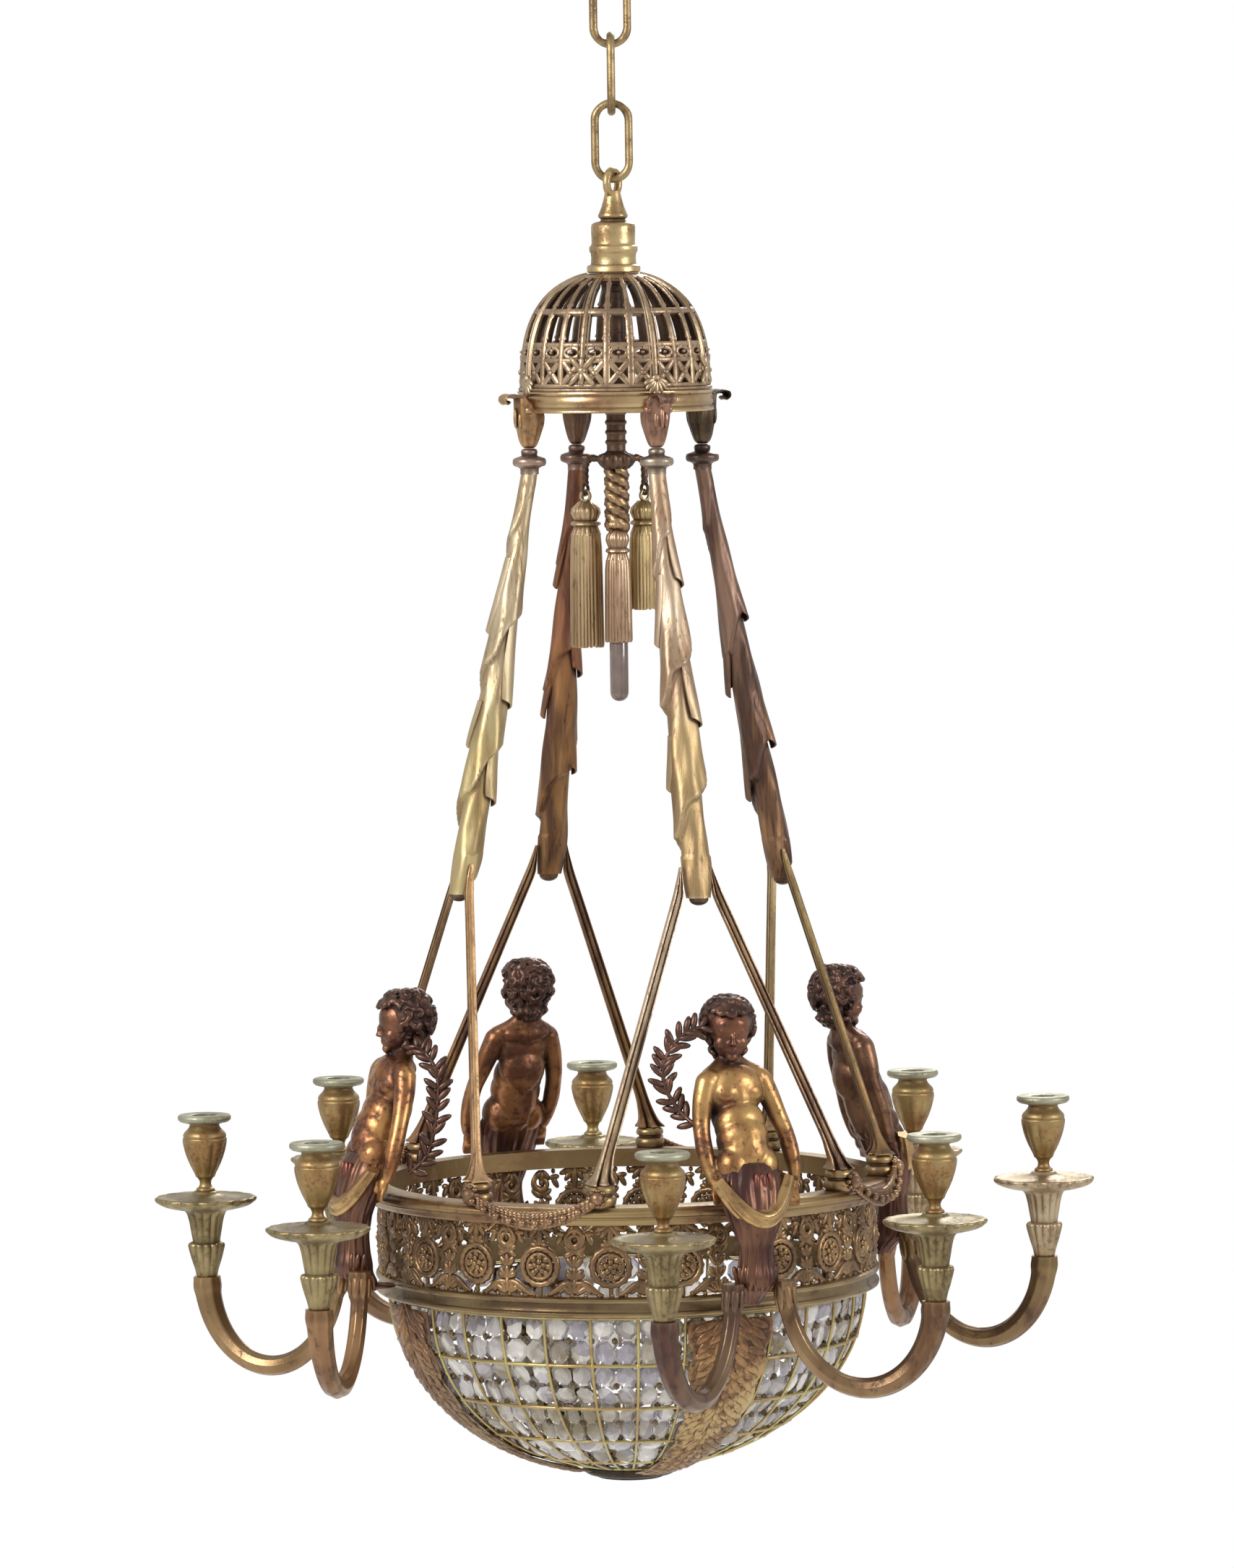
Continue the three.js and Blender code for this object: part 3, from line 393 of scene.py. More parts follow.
def turned(bm, profile, base, steps, centre=(0, 0), closed=False):
    """Spins a profile of (radius, height over the base) in millimetres round an upright line."""
    part = bmesh.new()
    verts = [part.verts.new((centre[0] + radius * mm, centre[1], (base + height) * mm))
             for radius, height in profile]
    edges = [part.edges.new(pair) for pair in zip(verts, verts[1:])]
    if closed:
        edges.append(part.edges.new((verts[-1], verts[0])))
    bmesh.ops.spin(part, geom=verts + edges, cent=(*centre, 0), axis=upright, dvec=(0, 0, 0),
                   angle=2 * pi, steps=steps, use_merge=True)
    bmesh.ops.remove_doubles(part, verts=part.verts, dist=1e-6)
    carried(part, bm)


def wire_ring(bm, centre, turn, radius, wire, steps, count, flat=1.0):
    """An upright ring of round wire in millimetres, turned about the vertical."""
    side = Vector((cos(turn), sin(turn), 0))
    across = Vector((-side.y, side.x, 0))
    rings = []
    for angle in circle(steps):
        outward = side * cos(angle) + upright * sin(angle)
        rings.append(oval((centre + outward * radius) * mm, outward * wire * flat * mm,
            across * wire * mm, count))
    swept(bm, rings, endless=True)


def span(node):
    """The lowest and the highest level of a solid in millimetres."""
    return [corner.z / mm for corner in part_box(node)]


def eye_finial():
    low, high = span("eye_finial")
    eye_wire, eye_ring = 3.5, 10.5
    bm = bmesh.new()
    moulding = [(0, 0), (21.5, 0), (23, 1.2), (23, 5), (22.2, 6.4), (19.8, 7.2), (19.4, 9),
        (19.2, 13), (19.6, 17), (20.6, 18.2), (20.9, 20.5), (20.7, 22.6), (19.2, 23.6), (18.6, 26),
        (18.9, 33), (19, 39.5), (18.2, 42), (15.5, 43.4), (11.2, 44.2), (10.4, 46), (12.4, 47.4),
        (12.9, 49), (12, 51), (9.6, 57), (8, 63), (6.4, 69.9), (0, 70)]
    turned(bm, moulding, low, 56)
    wire_ring(bm, upright * (high - eye_wire - eye_ring), eye_azimuth + radians(62), eye_ring,
        eye_wire, 32, 14, 0.98)
    return shaped(bm, "eye_finial_cast", 45)


finial_gilt = gilding("finial_gilt", (0.54, 0.40, 0.20), (0.34, 0.22, 0.10), (0.06, 0.03, 0.013),
    patch=40, roughness=0.32)
placed(eye_finial(), finial_gilt, "eye_finial")


# Dome: a bell cast in openwork, with twenty-four ribs in four tiers between hoops. Every
# third rib is strong and moulded, and ends in a palmette or a star. It carries the ring.
def front(reach, offset, height):
    """A point on the side that faces -Y, in millimetres outward, to the right and up."""
    return Vector((offset, -reach, height)) * mm


def aside(reach, angle, height):
    """A point by its angle round the lamp's axis, in millimetres outward and up."""
    return Vector((reach * sin(angle), -reach * cos(angle), height)) * mm


def level_out(angle):
    """The level direction away from the axis. A quarter turn more gives the one along a hoop."""
    return Vector((sin(angle), -cos(angle), 0))


def lying(side, up, out):
    """The turn that lays a lump's X, Y and Z along three directions."""
    return Matrix((side, up, out)).transposed().to_4x4()


def neighbours(path, place):
    """The stations before and after a place on a path."""
    return path[max(place - 1, 0)], path[min(place + 1, len(path) - 1)]


round_lumps = {}


def blob(bm, centre, size, turn=None, fineness=2):
    """A rounded lump of the given half sizes in millimetres."""
    if fineness not in round_lumps:
        ball = bmesh.new()
        bmesh.ops.create_icosphere(ball, subdivisions=fineness, radius=1)
        round_lumps[fineness] = bpy.data.meshes.new("round_lump")
        ball.to_mesh(round_lumps[fineness])
        ball.free()
    lump = round_lumps[fineness].copy()
    scale = Matrix.Diagonal((*(half * mm for half in size), 1))
    lump.transform(Matrix.Translation(centre) @ (turn or Matrix.Identity(4)) @ scale)
    bm.from_mesh(lump)
    bpy.data.meshes.remove(lump)


dome_base = span("pierced_dome")[0]
dome_radius, dome_height, dome_power = 81, 100, 2.6
dome_ribs = 24
dome_bay = 2 * pi / dome_ribs
thin_rib = [(-2.6, -1.6), (-2.8, 0.3), (-1.8, 1.1), (0, 1.4), (1.8, 1.1), (2.8, 0.3), (2.6, -1.6)]
strong_rib = [(-4.6, -1.6), (-4.8, 0.9), (-3.8, 1.5), (-3, 0.6), (-1.8, 1.9), (0, 2.6), (1.8, 1.9),
              (3, 0.6), (3.8, 1.5), (4.8, 0.9), (4.6, -1.6)]


def on_dome(angle, height, proud=0.0):
    """A point over the dome's bell, proud of it by some millimetres."""
    share = min(max(height / dome_height, 0.0), 0.999)
    radius = dome_radius * (1 - share ** dome_power) ** (1 / dome_power)
    slope = Vector(((radius / dome_radius) ** (dome_power - 1) / dome_radius,
        share ** (dome_power - 1) / dome_height))
    slope.normalize()
    return aside(radius + slope.x * proud, angle, dome_base + height + slope.y * proud)


def dome_frame(angle, height):
    """A point of the dome, the direction out of it and the turn that lays a lump on it."""
    centre = on_dome(angle, height)
    out = (on_dome(angle, height, 1) - centre).normalized()
    side = level_out(angle + pi / 2)
    return centre, out, lying(side, side.cross(out).normalized(), out)


def dome_section(stations):
    """A turned profile from heights up the dome and lifts off it."""
    points = [on_dome(0, height, lift) / mm for height, lift in stations]
    return [(-point.y, point.z) for point in points]


def dome_bar(bm, path, section, scale=1.0):
    """A bar of the lattice through (angle, height) points. Near the crown it narrows."""
    rings = []
    for i, (angle, height) in enumerate(path):
        centre, out, _ = dome_frame(angle, height)
        before, after = neighbours(path, i)
        side = (on_dome(*after) - on_dome(*before)).cross(out).normalized()
        narrow = scale * (1 - max(0.0, height / dome_height - 0.6) * 1.3)
        rings.append([centre + (side * a * narrow + out * b * scale) * mm for a, b in section])
    swept(bm, rings)


rib_heights = [5 + 3.7 * i for i in range(24)] + [92.6, 95, 96.8, 98.2]


def pierced_dome():
    bm = bmesh.new()
    for low, high, proud in ((0, 3, 2.4), (3, 6.7, 1.4), (24.5, 28.7, 1), (37.6, 42, 1.1),
            (65.6, 70.2, 1.3)):
        hoop = [(low, -2.4), (low, proud - 0.8), (low + 0.6, proud - 0.2),
                ((low + high) / 2, proud), (high - 0.6, proud - 0.2), (high, proud - 0.8),
                (high, -2.4)]
        turned(bm, dome_section(hoop), 0, 96, closed=True)
    for j in range(dome_ribs):
        if j % 3:
            dome_bar(bm, [(j * dome_bay, height) for height in rib_heights], thin_rib)
        middle = (j + 0.5) * dome_bay
        for hand in (-1, 1):
            lattice = [(5.6 - 1.12 * i, 7 + 1.8 * i) for i in range(11)]
            bow = [(5.4 * cos(t), 33.2 + 4.4 * sin(t)) for t in (-1.5, -0.9, -0.3, 0.3, 0.9, 1.5)]
            arches = [[(6.9 - 1.5 * cos(t) ** 4, low + tall * (1 - cos(t)))
                       for t in (0, 0.35, 0.8, 1.3, 1.8, 2.3, 2.75, 3.14)]
                      for low, tall in ((44, 10.8), (72, 9.8))]
            for path, scale in zip((lattice, bow, *arches), (0.9, 0.62, 0.62, 0.62)):
                dome_bar(bm, [(middle + hand * radians(off), height) for off, height in path],
                    thin_rib, scale)
        for height, size in ((16, 3.1), (33.2, 1.8)):
            centre, out, lie = dome_frame(middle, height)
            blob(bm, centre + out * 0.8 * mm, (size, size * 0.8, 1.9), lie)
    crown = [(96.4, -3), (96, 0.4), (96.8, 1.3), (98, 1.2), (98.8, 0.9)]
    flat = dome_base + dome_height
    turned(bm, dome_section(crown) + [(21, flat), (12, flat), (12, flat - 4), (24, flat - 5.2)],
           0, 72, closed=True)
    return shaped(bm, "pierced_dome_cast", 50)


def dome_core():
    """Dark fins and bands inside the ribs and hoops: painted shade that darkens the dome's
    openings.
    """
    bm = bmesh.new()
    for j in range(dome_ribs):
        half = 3.4 if j % 3 else 4.8
        dome_bar(bm, [(j * dome_bay, height) for height in rib_heights[:25]],
                 [(-half + 0.8, -5.4), (-half, -3.4), (-half, -1.3), (half, -1.3), (half, -3.4),
                 (half - 0.8, -5.4)])
    for low, high in ((24.7, 28.5), (37.8, 41.8), (65.8, 70)):
        turned(bm, dome_section([(low, -1.4), (high, -1.4), (high, -5), (low, -5)]), 0, 96,
            closed=True)
    return shaped(bm, "dome_core", 40)


def dome_strong_ribs():
    """The eight strong ribs with the palmettes and stars at their feet."""
    bm = bmesh.new()
    for j in range(8):
        angle = j * 3 * dome_bay
        dome_bar(bm, [(angle, height) for height in rib_heights], strong_rib)
        centre, out, lie = dome_frame(angle, 11 if j % 2 == 0 else 18)
        petals = [(tilt, 11 - abs(tilt) * 0.045) for tilt in (-66, -44, -22, 0, 22, 44, 66)]
        if j % 2:
            petals = [(tilt, 10.8) for tilt in (42, 138, 222, 318)] + [(0, 8), (180, 7.5)]
        for tilt, length in petals:
            spin = lie @ Matrix.Rotation(radians(-tilt), 4, "Z")
            reach = spin @ Vector((0, 1, 0))
            blob(bm, centre + (reach * length * 0.8 + out * 2) * mm, (2.7, length * 0.8, 2.1), spin)
        blob(bm, centre + out * 2.2 * mm, (4, 3.6, 2.8), lie)
    return shaped(bm, "dome_strong_ribs", 50)


dome_gilt = gilding("dome_gilt", (0.42, 0.30, 0.19), (0.19, 0.12, 0.075), (0.035, 0.017, 0.01),
    patch=38, age=0.8)
rib_gilt = gilding("dome_rib_gilt", (0.48, 0.37, 0.24), (0.29, 0.19, 0.115), (0.05, 0.026, 0.014),
    patch=30)
# Near-black bronze for the inner fins: painted shade inside the dome.
shade_fin_bronze = gilding("dome_core_bronze", (0.10, 0.06, 0.04), (0.05, 0.028, 0.02),
    (0.02, 0.011, 0.008), patch=30)
for mesh, finish in ((pierced_dome(), dome_gilt), (dome_strong_ribs(), rib_gilt),
        (dome_core(), shade_fin_bronze)):
    placed(mesh, finish, "pierced_dome")


# Ring and consoles: a burnished gilt band screwed under the dome, with four leaf consoles.
# Each console curls outward at the band's top and tapers down to a bud over its stem.
ring_top = dome_base - 0.3


def dome_ring():
    bm = bmesh.new()
    section = [(75.5, 0), (84.2, 0), (84.5, -1.2), (83.4, -2.6), (82.7, -3.4), (83.6, -5),
               (84, -8.5), (83.6, -12), (82.6, -13.6), (83.2, -14.6), (84.3, -15.8), (84.5, -17),
               (83.6, -18), (75.5, -18)]
    turned(bm, section, ring_top, 128, closed=True)
    return shaped(bm, "dome_band", 40)


def console_leaf():
    bm = bmesh.new()
    stations = eased([(90, -4, 10.5, 4.6), (87, -9, 12, 7.5), (82, -17, 12.4, 12),
                      (81, -26, 11.8, 12), (81.5, -34, 10, 10.2), (82, -41, 8, 8.4),
                      (82, -46, 6, 6.2), (82, -48, 3.6, 3.6)], 5)
    rings = []
    for reach, drop, half, deep in stations:
        ring = []
        for angle in circle(42):
            flute = 1 + 0.075 * cos(7 * angle) * min(1, -drop / 14)
            ring.append(front(reach + deep * sin(angle) * flute, half * cos(angle) * flute,
                ring_top + drop))
        rings.append(ring)
    swept(bm, rings)
    curl = eased([(84, -13, 10.5), (88, -6, 11), (94, -2.2, 11), (100.5, -0.9, 10),
                  (105.4, -2.6, 9), (106.4, -6.4, 8), (103.6, -8.8, 7), (101, -7, 6)], 4)
    rings = []
    for i, (reach, drop, half) in enumerate(curl):
        before, after = neighbours(curl, i)
        along = Vector((after[0] - before[0], after[1] - before[1])).normalized()
        out = Vector((-along.y, along.x))
        ring = []
        for angle in circle(24):
            ripple = 1.25 + 0.55 * cos(cos(angle) * 9)
            across = half * cos(angle) * (1 - 0.06 * cos(6 * angle))
            lift = ripple * sin(angle) - 1.2 * (1 - abs(cos(angle)))
            ring.append(front(reach + out.x * lift, across, ring_top - 1.1 + drop + out.y * lift))
        rings.append(ring)
    swept(bm, rings)
    for hand in (-1, 1):
        blob(bm, front(86, hand * 10, ring_top - 15.5), (3.6, 4.4, 3.6))
        blob(bm, front(92, hand * 4.5, ring_top - 24), (2.4, 2, 7))
    blob(bm, front(94.4, 0, ring_top - 22), (2.2, 1.8, 9))
    return shaped(bm, "console_leaf", 50)


quarters = [(side, Matrix.Rotation(k * pi / 2, 4, "Z"))
            for k, side in enumerate(("front", "right", "back", "left"))]
ring_gilt = gilding("ring_gilt", (0.56, 0.41, 0.21), (0.30, 0.17, 0.09), (0.06, 0.03, 0.015),
    patch=16, roughness=0.24, age=0.25)
# Each side's console takes its own lighter or darker tones: painted light and shade over the gilt.
console_shading_tones = {"front": ((0.38, 0.22, 0.145), (0.18, 0.09, 0.06)),
    "right": ((0.12, 0.085, 0.05), (0.05, 0.03, 0.018)),
    "back": ((0.17, 0.095, 0.06), (0.08, 0.042, 0.028)),
    "left": ((0.50, 0.32, 0.16), (0.28, 0.15, 0.07))}
placed(dome_ring(), ring_gilt, "dome_ring")
leaf_mesh = console_leaf()
for side, turn in quarters:
    leaf_gilt = gilding("console_gilt_" + side, *console_shading_tones[side], (0.03, 0.014, 0.008),
        patch=34)
    placed(leaf_mesh, leaf_gilt, "dome_ring", "console_leaf_" + side, turn)


# Centre rod: an iron rod nutted under the dome's crown, with a bronze hub, two hooks for
# the side tassels and a cast rope of three strands that ends over the front tassel.
hub_top = dome_base - 52
hub_base = hub_top - 16
rope_base = hub_base - 51
rod_radius, flange_radius, rope_radius = 8.1, 16, 11
ring_wire, small_ring = 1.5, 4.5
tassel_hooks = {"left": Vector((-17.8, 25.8, 0)), "right": Vector((29.8, 7.2, 0))}
hook_centre = hub_base - 18


def lobed(bm, stations, lobes, count=60, centre=(0.0, 0.0), twist=0.0):
    """A closed body of rounded lobes. Each station is its radius, height and lobe depth."""
    rings = []
    for i, (radius, height, depth) in enumerate(stations):
        ring = []
        for angle in circle(count):
            lobe = abs(cos(lobes / 2 * (angle + twist * i)))
            reach = radius * (1 - depth + depth * lobe)
            ring.append(Vector((centre[0] + reach * cos(angle), centre[1] + reach * sin(angle),
                height)) * mm)
        rings.append(ring)
    swept(bm, rings)


def centre_rod():
    bm = bmesh.new()
    under = dome_base + dome_height - 4.3
    profile = [(0, hub_top - 3), (rod_radius, hub_top - 3), (rod_radius, under - 12),
               (10.5, under - 11), (11, under - 6), (flange_radius, under - 5),
               (flange_radius, under), (rod_radius, under), (rod_radius, dome_base + dome_height),
               (0, dome_base + dome_height)]
    turned(bm, profile, 0, 32)
    for i in range(5):
        band_height = hub_top + 7 + i * 8.5
        profile = [(rod_radius - 1, -2.4), (rod_radius + 0.5, -2), (rod_radius + 1.5, 0),
            (rod_radius + 0.5, 2), (rod_radius - 1, 2.4)]
        turned(bm, profile, band_height, 24, closed=True)
    lobed(bm, [(8, hub_top, 0.05), (10, hub_top - 2, 0.1), (15.5, hub_top - 4, 0.14),
               (17, hub_top - 7, 0.16), (16.6, hub_top - 10, 0.16), (14.5, hub_top - 13, 0.12),
               (11, hub_top - 16, 0.06)], 10, 60)
    for side in ("left", "right"):
        place = tassel_hooks[side]
        outward = place.normalized()
        across = Vector((-outward.y, outward.x, 0))
        path = eased([(11, hub_base + 7), (place.length - 7, hub_base + 9),
                      (place.length - 1, hub_base + 4), (place.length, hub_base - 5),
                      (place.length, hook_centre + small_ring)], 6)
        rings = []
        for i, (reach, height) in enumerate(path):
            before, after = neighbours(path, i)
            along = outward * (after[0] - before[0]) + upright * (after[1] - before[1])
            along.normalize()
            thick = 2.6 + 0.7 * sin(i * 0.9) ** 2
            middle = (outward * reach + Vector((0, 0, height))) * mm
            rings.append(oval(middle, across * thick * mm, along.cross(across) * thick * mm, 12))
        swept(bm, rings)
        ring_centre = place + upright * hook_centre
        wire_ring(bm, ring_centre, atan2(outward.y, outward.x) + pi / 2, small_ring, ring_wire, 20,
            10)
    return shaped(bm, "centre_rod_iron", 45)


def twisted_rope():
    bm = bmesh.new()
    strand, lay_turns, steps = 5.7, 1.9, 96
    for k in range(3):
        rings = []
        for i in range(steps + 1):
            t = i / steps
            angle = (k / 3 + lay_turns * t) * 2 * pi
            centre = Vector(((rope_radius - strand) * cos(angle),
                             (rope_radius - strand) * sin(angle),
                             hub_base + 1.5 + (rope_base - hub_base - 1.5) * t))
            outward = Vector((cos(angle), sin(angle), 0))
            ring = []
            for around in circle(18):
                yarn = 1 + 0.07 * cos(6 * around - 30 * t * pi)
                ring.append((centre + (outward * cos(around)
                    + upright * sin(around)) * strand * yarn) * mm)
            rings.append(ring)
        swept(bm, rings)
    lobed(bm, [(10.2, rope_base + 5, 0.08), (11, rope_base + 3, 0.1), (11, rope_base + 1, 0.1),
        (9.5, rope_base, 0.05)], 14, 56)
    return shaped(bm, "twisted_rope", 60)


rod_bronze = gilding("rod_bronze", (0.15, 0.09, 0.055), (0.07, 0.04, 0.03), (0.02, 0.011, 0.008),
    patch=50, roughness=0.45)
rope_bronze = gilding("rope_bronze", (0.40, 0.26, 0.14), (0.14, 0.08, 0.048), (0.022, 0.01, 0.006),
    patch=60, age=0.7)
placed(centre_rod(), rod_bronze, "centre_rod")
placed(twisted_rope(), rope_bronze, "centre_rod")


# Tassels: cast bronze made to look like silk. The front one is a lampholder under the
# rope, and the two side ones hang from their hooks by rings, hollow and open below.
def tassel_skirt(bm, centre, top, head, skirt, length, threads):
    """A tassel from its knob down to the hem, with a thread count round the skirt."""
    shape = [(0.45, 0, 0), (0.62, -2.5, 0.05), (0.86, -6, 0.08), (0.92, -10, 0.09),
             (0.80, -14, 0.08), (0.70, -16.5, 0.03), (0.90, -18, 0.02), (0.92, -20, 0.02),
             (0.72, -21.6, 0.03), (0.80, -24, 0.08), (0.93, -29, 0.1)]
    rings = [(head * share, top + drop, depth) for share, drop, depth in shape]
    lobed(bm, rings, 14, 84, centre)
    start = top - 27
    fall = length - 27
    count = threads * 7
    rings = []
    for radius, drop, depth in ((skirt * 0.84, 0, 0.05), (skirt * 0.92, fall * 0.12, 0.09),
                                (skirt * 0.96, fall * 0.4, 0.11),
                                (skirt * 0.985, fall * 0.75, 0.12), (skirt, fall * 0.97, 0.12),
                                (skirt * 0.96, fall, 0.12), (skirt - 3, fall - 0.5, 0.05),
                                (skirt - 3, fall - 38, 0), (1.5, fall - 38.5, 0)):
        ring = []
        for angle in circle(count):
            thread = abs(cos(threads / 2 * angle + 0.9 * sin(3 * angle)))
            fold = 0.5 + 0.5 * sin(5 * angle + 1.4 * sin(2 * angle))
            reach = radius * (1 - depth * (1 - 0.6 * thread - 0.4 * fold))
            uneven = 1.6 * sin(7 * angle) * sin(11 * angle) if drop > fall * 0.9 else 0
            ring.append(Vector((centre[0] + reach * cos(angle), centre[1] + reach * sin(angle),
                                max(start - drop + uneven, start - fall))) * mm)
        rings.append(ring)
    swept(bm, rings)


front_top = rope_base - 0.3
side_top = hook_centre - 2 * small_ring + 2 * ring_wire + 0.3 - small_ring
tassel_lengths = {"left": 126, "right": 94}


def front_tassel():
    bm = bmesh.new()
    tassel_skirt(bm, (0, 0), front_top, 11.2, 12.2, 98, 20)
    return shaped(bm, "tassel_front_cast", 60)


def side_tassel(side):
    bm = bmesh.new()
    place = tassel_hooks[side]
    tassel_skirt(bm, (place.x, place.y), side_top, 14.2, 15, tassel_lengths[side], 24)
    ring_centre = place + upright * (side_top + small_ring)
    wire_ring(bm, ring_centre, atan2(place.y, place.x), small_ring, ring_wire, 20, 10)
    return shaped(bm, "tassel_" + side + "_cast", 60)


front_gilt = gilding("tassel_gilt_front", (0.50, 0.36, 0.24), (0.32, 0.20, 0.12),
    (0.06, 0.03, 0.016), patch=30, streak=4)
left_gilt = gilding("tassel_gilt_left", (0.58, 0.43, 0.25), (0.32, 0.20, 0.10), (0.07, 0.026, 0.01),
    patch=26, streak=4)
right_gilt = gilding("tassel_gilt_right", (0.52, 0.39, 0.21), (0.38, 0.28, 0.12),
    (0.09, 0.05, 0.02), patch=26, streak=4)
placed(front_tassel(), front_gilt, "tassel_front")
placed(side_tassel("left"), left_gilt, "tassel_left", body="left_tassel")
placed(side_tassel("right"), right_gilt, "tassel_right", body="right_tassel")


# Bulb: a tubular lamp of smoked glass with a rounded tip, pushed up into the front tassel
# and turned to lock. Its cap hides in the lampholder.
def tubular_bulb():
    low, high = span("tubular_bulb")
    profile = [(0, low), (2.6, low + 0.3), (5, low + 1.5), (6.9, low + 3.6), (7.8, low + 6.4),
               (8, low + 9.5), (8, high - 14), (7.2, high - 12.6), (6.5, high - 12), (6.5, high),
               (0, high)]
    bm = bmesh.new()
    turned(bm, profile, 0, 40)
    return shaped(bm, "tubular_bulb_glass", 50)


bulb_sheet = Sheet(bpy.data.materials.new("smoked_glass"))
bulb_place = bulb_sheet.node("ShaderNodeTexCoord", out=3)
bulb_tint = bulb_sheet.mixed(bulb_sheet.noise(bulb_place, 90.0, 3.0), (0.20, 0.15, 0.13),
    (0.11, 0.075, 0.07))
smoked_glass = bulb_sheet.finished({"Base Color": bulb_tint, "Roughness": 0.16, "IOR": 1.5,
    "Coat Weight": 0.5})
placed(tubular_bulb(), smoked_glass, "tubular_bulb", body="bulb")


# Draped stems: four cast stems that lean out from the consoles to the gallery. Each looks
# like a thyrsus wrapped in cloth, whose edges wind down it and end in hanging tips.
stem_top = ring_top - 48.3
stem_start = stem_top - 21
stem_length = 358
stem_foot = stem_start - stem_length
stem_reach, foot_reach, stem_cheek = 82, 153, 13


def stem_place(share):
    """Reach and height of the stem's centre line at a share of its length."""
    return stem_reach + (foot_reach - stem_reach) * share, stem_start - stem_length * share


def stem_collar():
    bm = bmesh.new()
    profile = [(0, 0), (4.5, 0), (6.4, -0.8), (7.2, -2.4), (7, -4.4), (6.6, -5.6), (7.6, -6.6),
               (10.6, -7.4), (13.6, -8.6), (14.4, -10.4), (14.4, -13), (13.2, -14.8), (10, -15.8),
               (8.2, -17), (7.9, -19), (8, -22), (0, -22)]
    turned(bm, profile, stem_top, 40, (0, -stem_reach * mm))
    return shaped(bm, "stem_collar", 45)


def draped_stem(wind_phase, tips, windings=3.2):
    """The wound cloth. A tip is its place down the stem, its angle in degrees and its length."""
    bm = bmesh.new()
    stations = eased([(0, 8.2), (0.12, 9.2), (0.3, 12), (0.6, 14.8), (0.85, 14.2), (0.95, 12.4),
        (1, 10.6)], 12)
    shares, radii = [point[0] for point in stations], [point[1] for point in stations]
    steps, count, crest = 190, 56, 0.955
    rings = []
    for i in range(steps + 1):
        t = i / steps
        reach = stem_place(t)[0]
        height = stem_start + 1 + (stem_foot - stem_start - 1) * t
        plain = np.interp(t, shares, radii)
        ring = []
        for angle in circle(count):
            wind = t * windings - angle / (2 * pi) + wind_phase + 0.05 * sin(angle * 2 + t * 21)
            share = wind - floor(wind)
            if share < crest:
                swell = 0.76 + 0.40 * share ** 1.3
            else:
                swell = 1.14 - 0.38 * (share - crest) / (1 - crest)
            fade = min(1, max(0, (t - 0.02) / 0.16)) * min(1, max(0.15, (1 - t) / 0.08))
            pleat = 0.045 * sin(angle * 7 + share * 4) * share + 0.03 * sin(angle * 4 - t * 34)
            radius = plain * (0.92 + (swell - 0.92 + pleat) * fade)
            offset = radius * cos(angle)
            if t > 0.9:
                offset = max(-stem_cheek, min(stem_cheek, offset * 1.1))
            ring.append(front(reach + radius * sin(angle) * 0.92, offset, height))
        rings.append(ring)
    swept(bm, rings)
    for place, degrees, length in tips:
        middle = radians(degrees)
        rings = []
        for n in range(17):
            s = n / 16
            here = place + (s - 1) * length
            plain = np.interp(here, shares, radii)
            reach, height = stem_place(here)
            outer = plain * (0.86 + 0.42 * s ** 1.2)
            half = radians(62 - 34 * s ** 2)
            thick = 2.8 - 1.2 * s
            ring = []
            for depth_share, order in ((0, 1), (1, -1)):
                for j in range(9):
                    angle = middle + (j / 4 - 1) * order * half + 0.35 * s
                    edge = 1 - 0.22 * abs(j / 4 - 1) ** 2 * s
                    radius = outer * edge - thick * depth_share
                    slant = 5 * s * (j / 4 - 1) * order
                    ring.append(front(reach + radius * sin(angle), radius * cos(angle),
                        height + slant))
            rings.append(ring)
        swept(bm, rings)
    return shaped(bm, "draped_stem_cast", 50)


def stem_knob():
    bm = bmesh.new()
    blob(bm, front(foot_reach + 1, 0, stem_foot - 1), (8.4, 8, 5.6), fineness=3)
    return shaped(bm, "stem_knob", 60)


# Each side's collar takes its own lighter or darker tones: painted light and shade over the gilt.
collar_shading_tones = {"left": ((0.36, 0.27, 0.21), (0.17, 0.10, 0.07)),
    "back": ((0.24, 0.15, 0.12), (0.10, 0.055, 0.04)),
    "front": ((0.38, 0.31, 0.24), (0.17, 0.12, 0.085)),
    "right": ((0.15, 0.10, 0.075), (0.055, 0.03, 0.025))}
stem_tips = {
    "left": [(0.37, 115, 0.17), (0.55, -65, 0.2), (0.64, 130, 0.1), (0.78, -65, 0.12)],
    "back": [(0.28, 25, 0.14), (0.50, 205, 0.15), (0.60, 30, 0.16), (0.74, 205, 0.16)],
    "front": [(0.26, 25, 0.15), (0.40, 200, 0.16), (0.59, 25, 0.2), (0.74, 205, 0.12)],
    "right": [(0.36, 115, 0.14), (0.545, -65, 0.16), (0.67, 115, 0.16), (0.80, -65, 0.14)]}
# Each side's stem has its own upper and lower tones, lighter or darker: painted light and shade
# over the gilt, with a painted highlight in the palest upper tones.
stem_shading_looks = {
    "left": ((0.56, 0.46, 0.32), (0.42, 0.32, 0.19), (0.13, 0.065, 0.025), 0.75,
             (0.50, 0.40, 0.20), (0.34, 0.23, 0.10)),
    "back": ((0.30, 0.13, 0.062), (0.15, 0.066, 0.042), (0.028, 0.013, 0.009), 0.3,
             (0.34, 0.18, 0.07), (0.11, 0.055, 0.03)),
    "front": ((0.50, 0.39, 0.28), (0.36, 0.24, 0.15), (0.12, 0.06, 0.028), 0.75,
              (0.42, 0.30, 0.15), (0.27, 0.17, 0.08)),
    "right": ((0.23, 0.14, 0.10), (0.09, 0.052, 0.038), (0.02, 0.01, 0.008), 0.25,
              (0.34, 0.19, 0.095), (0.09, 0.045, 0.03))}
collar_mesh, knob_mesh = stem_collar(), stem_knob()
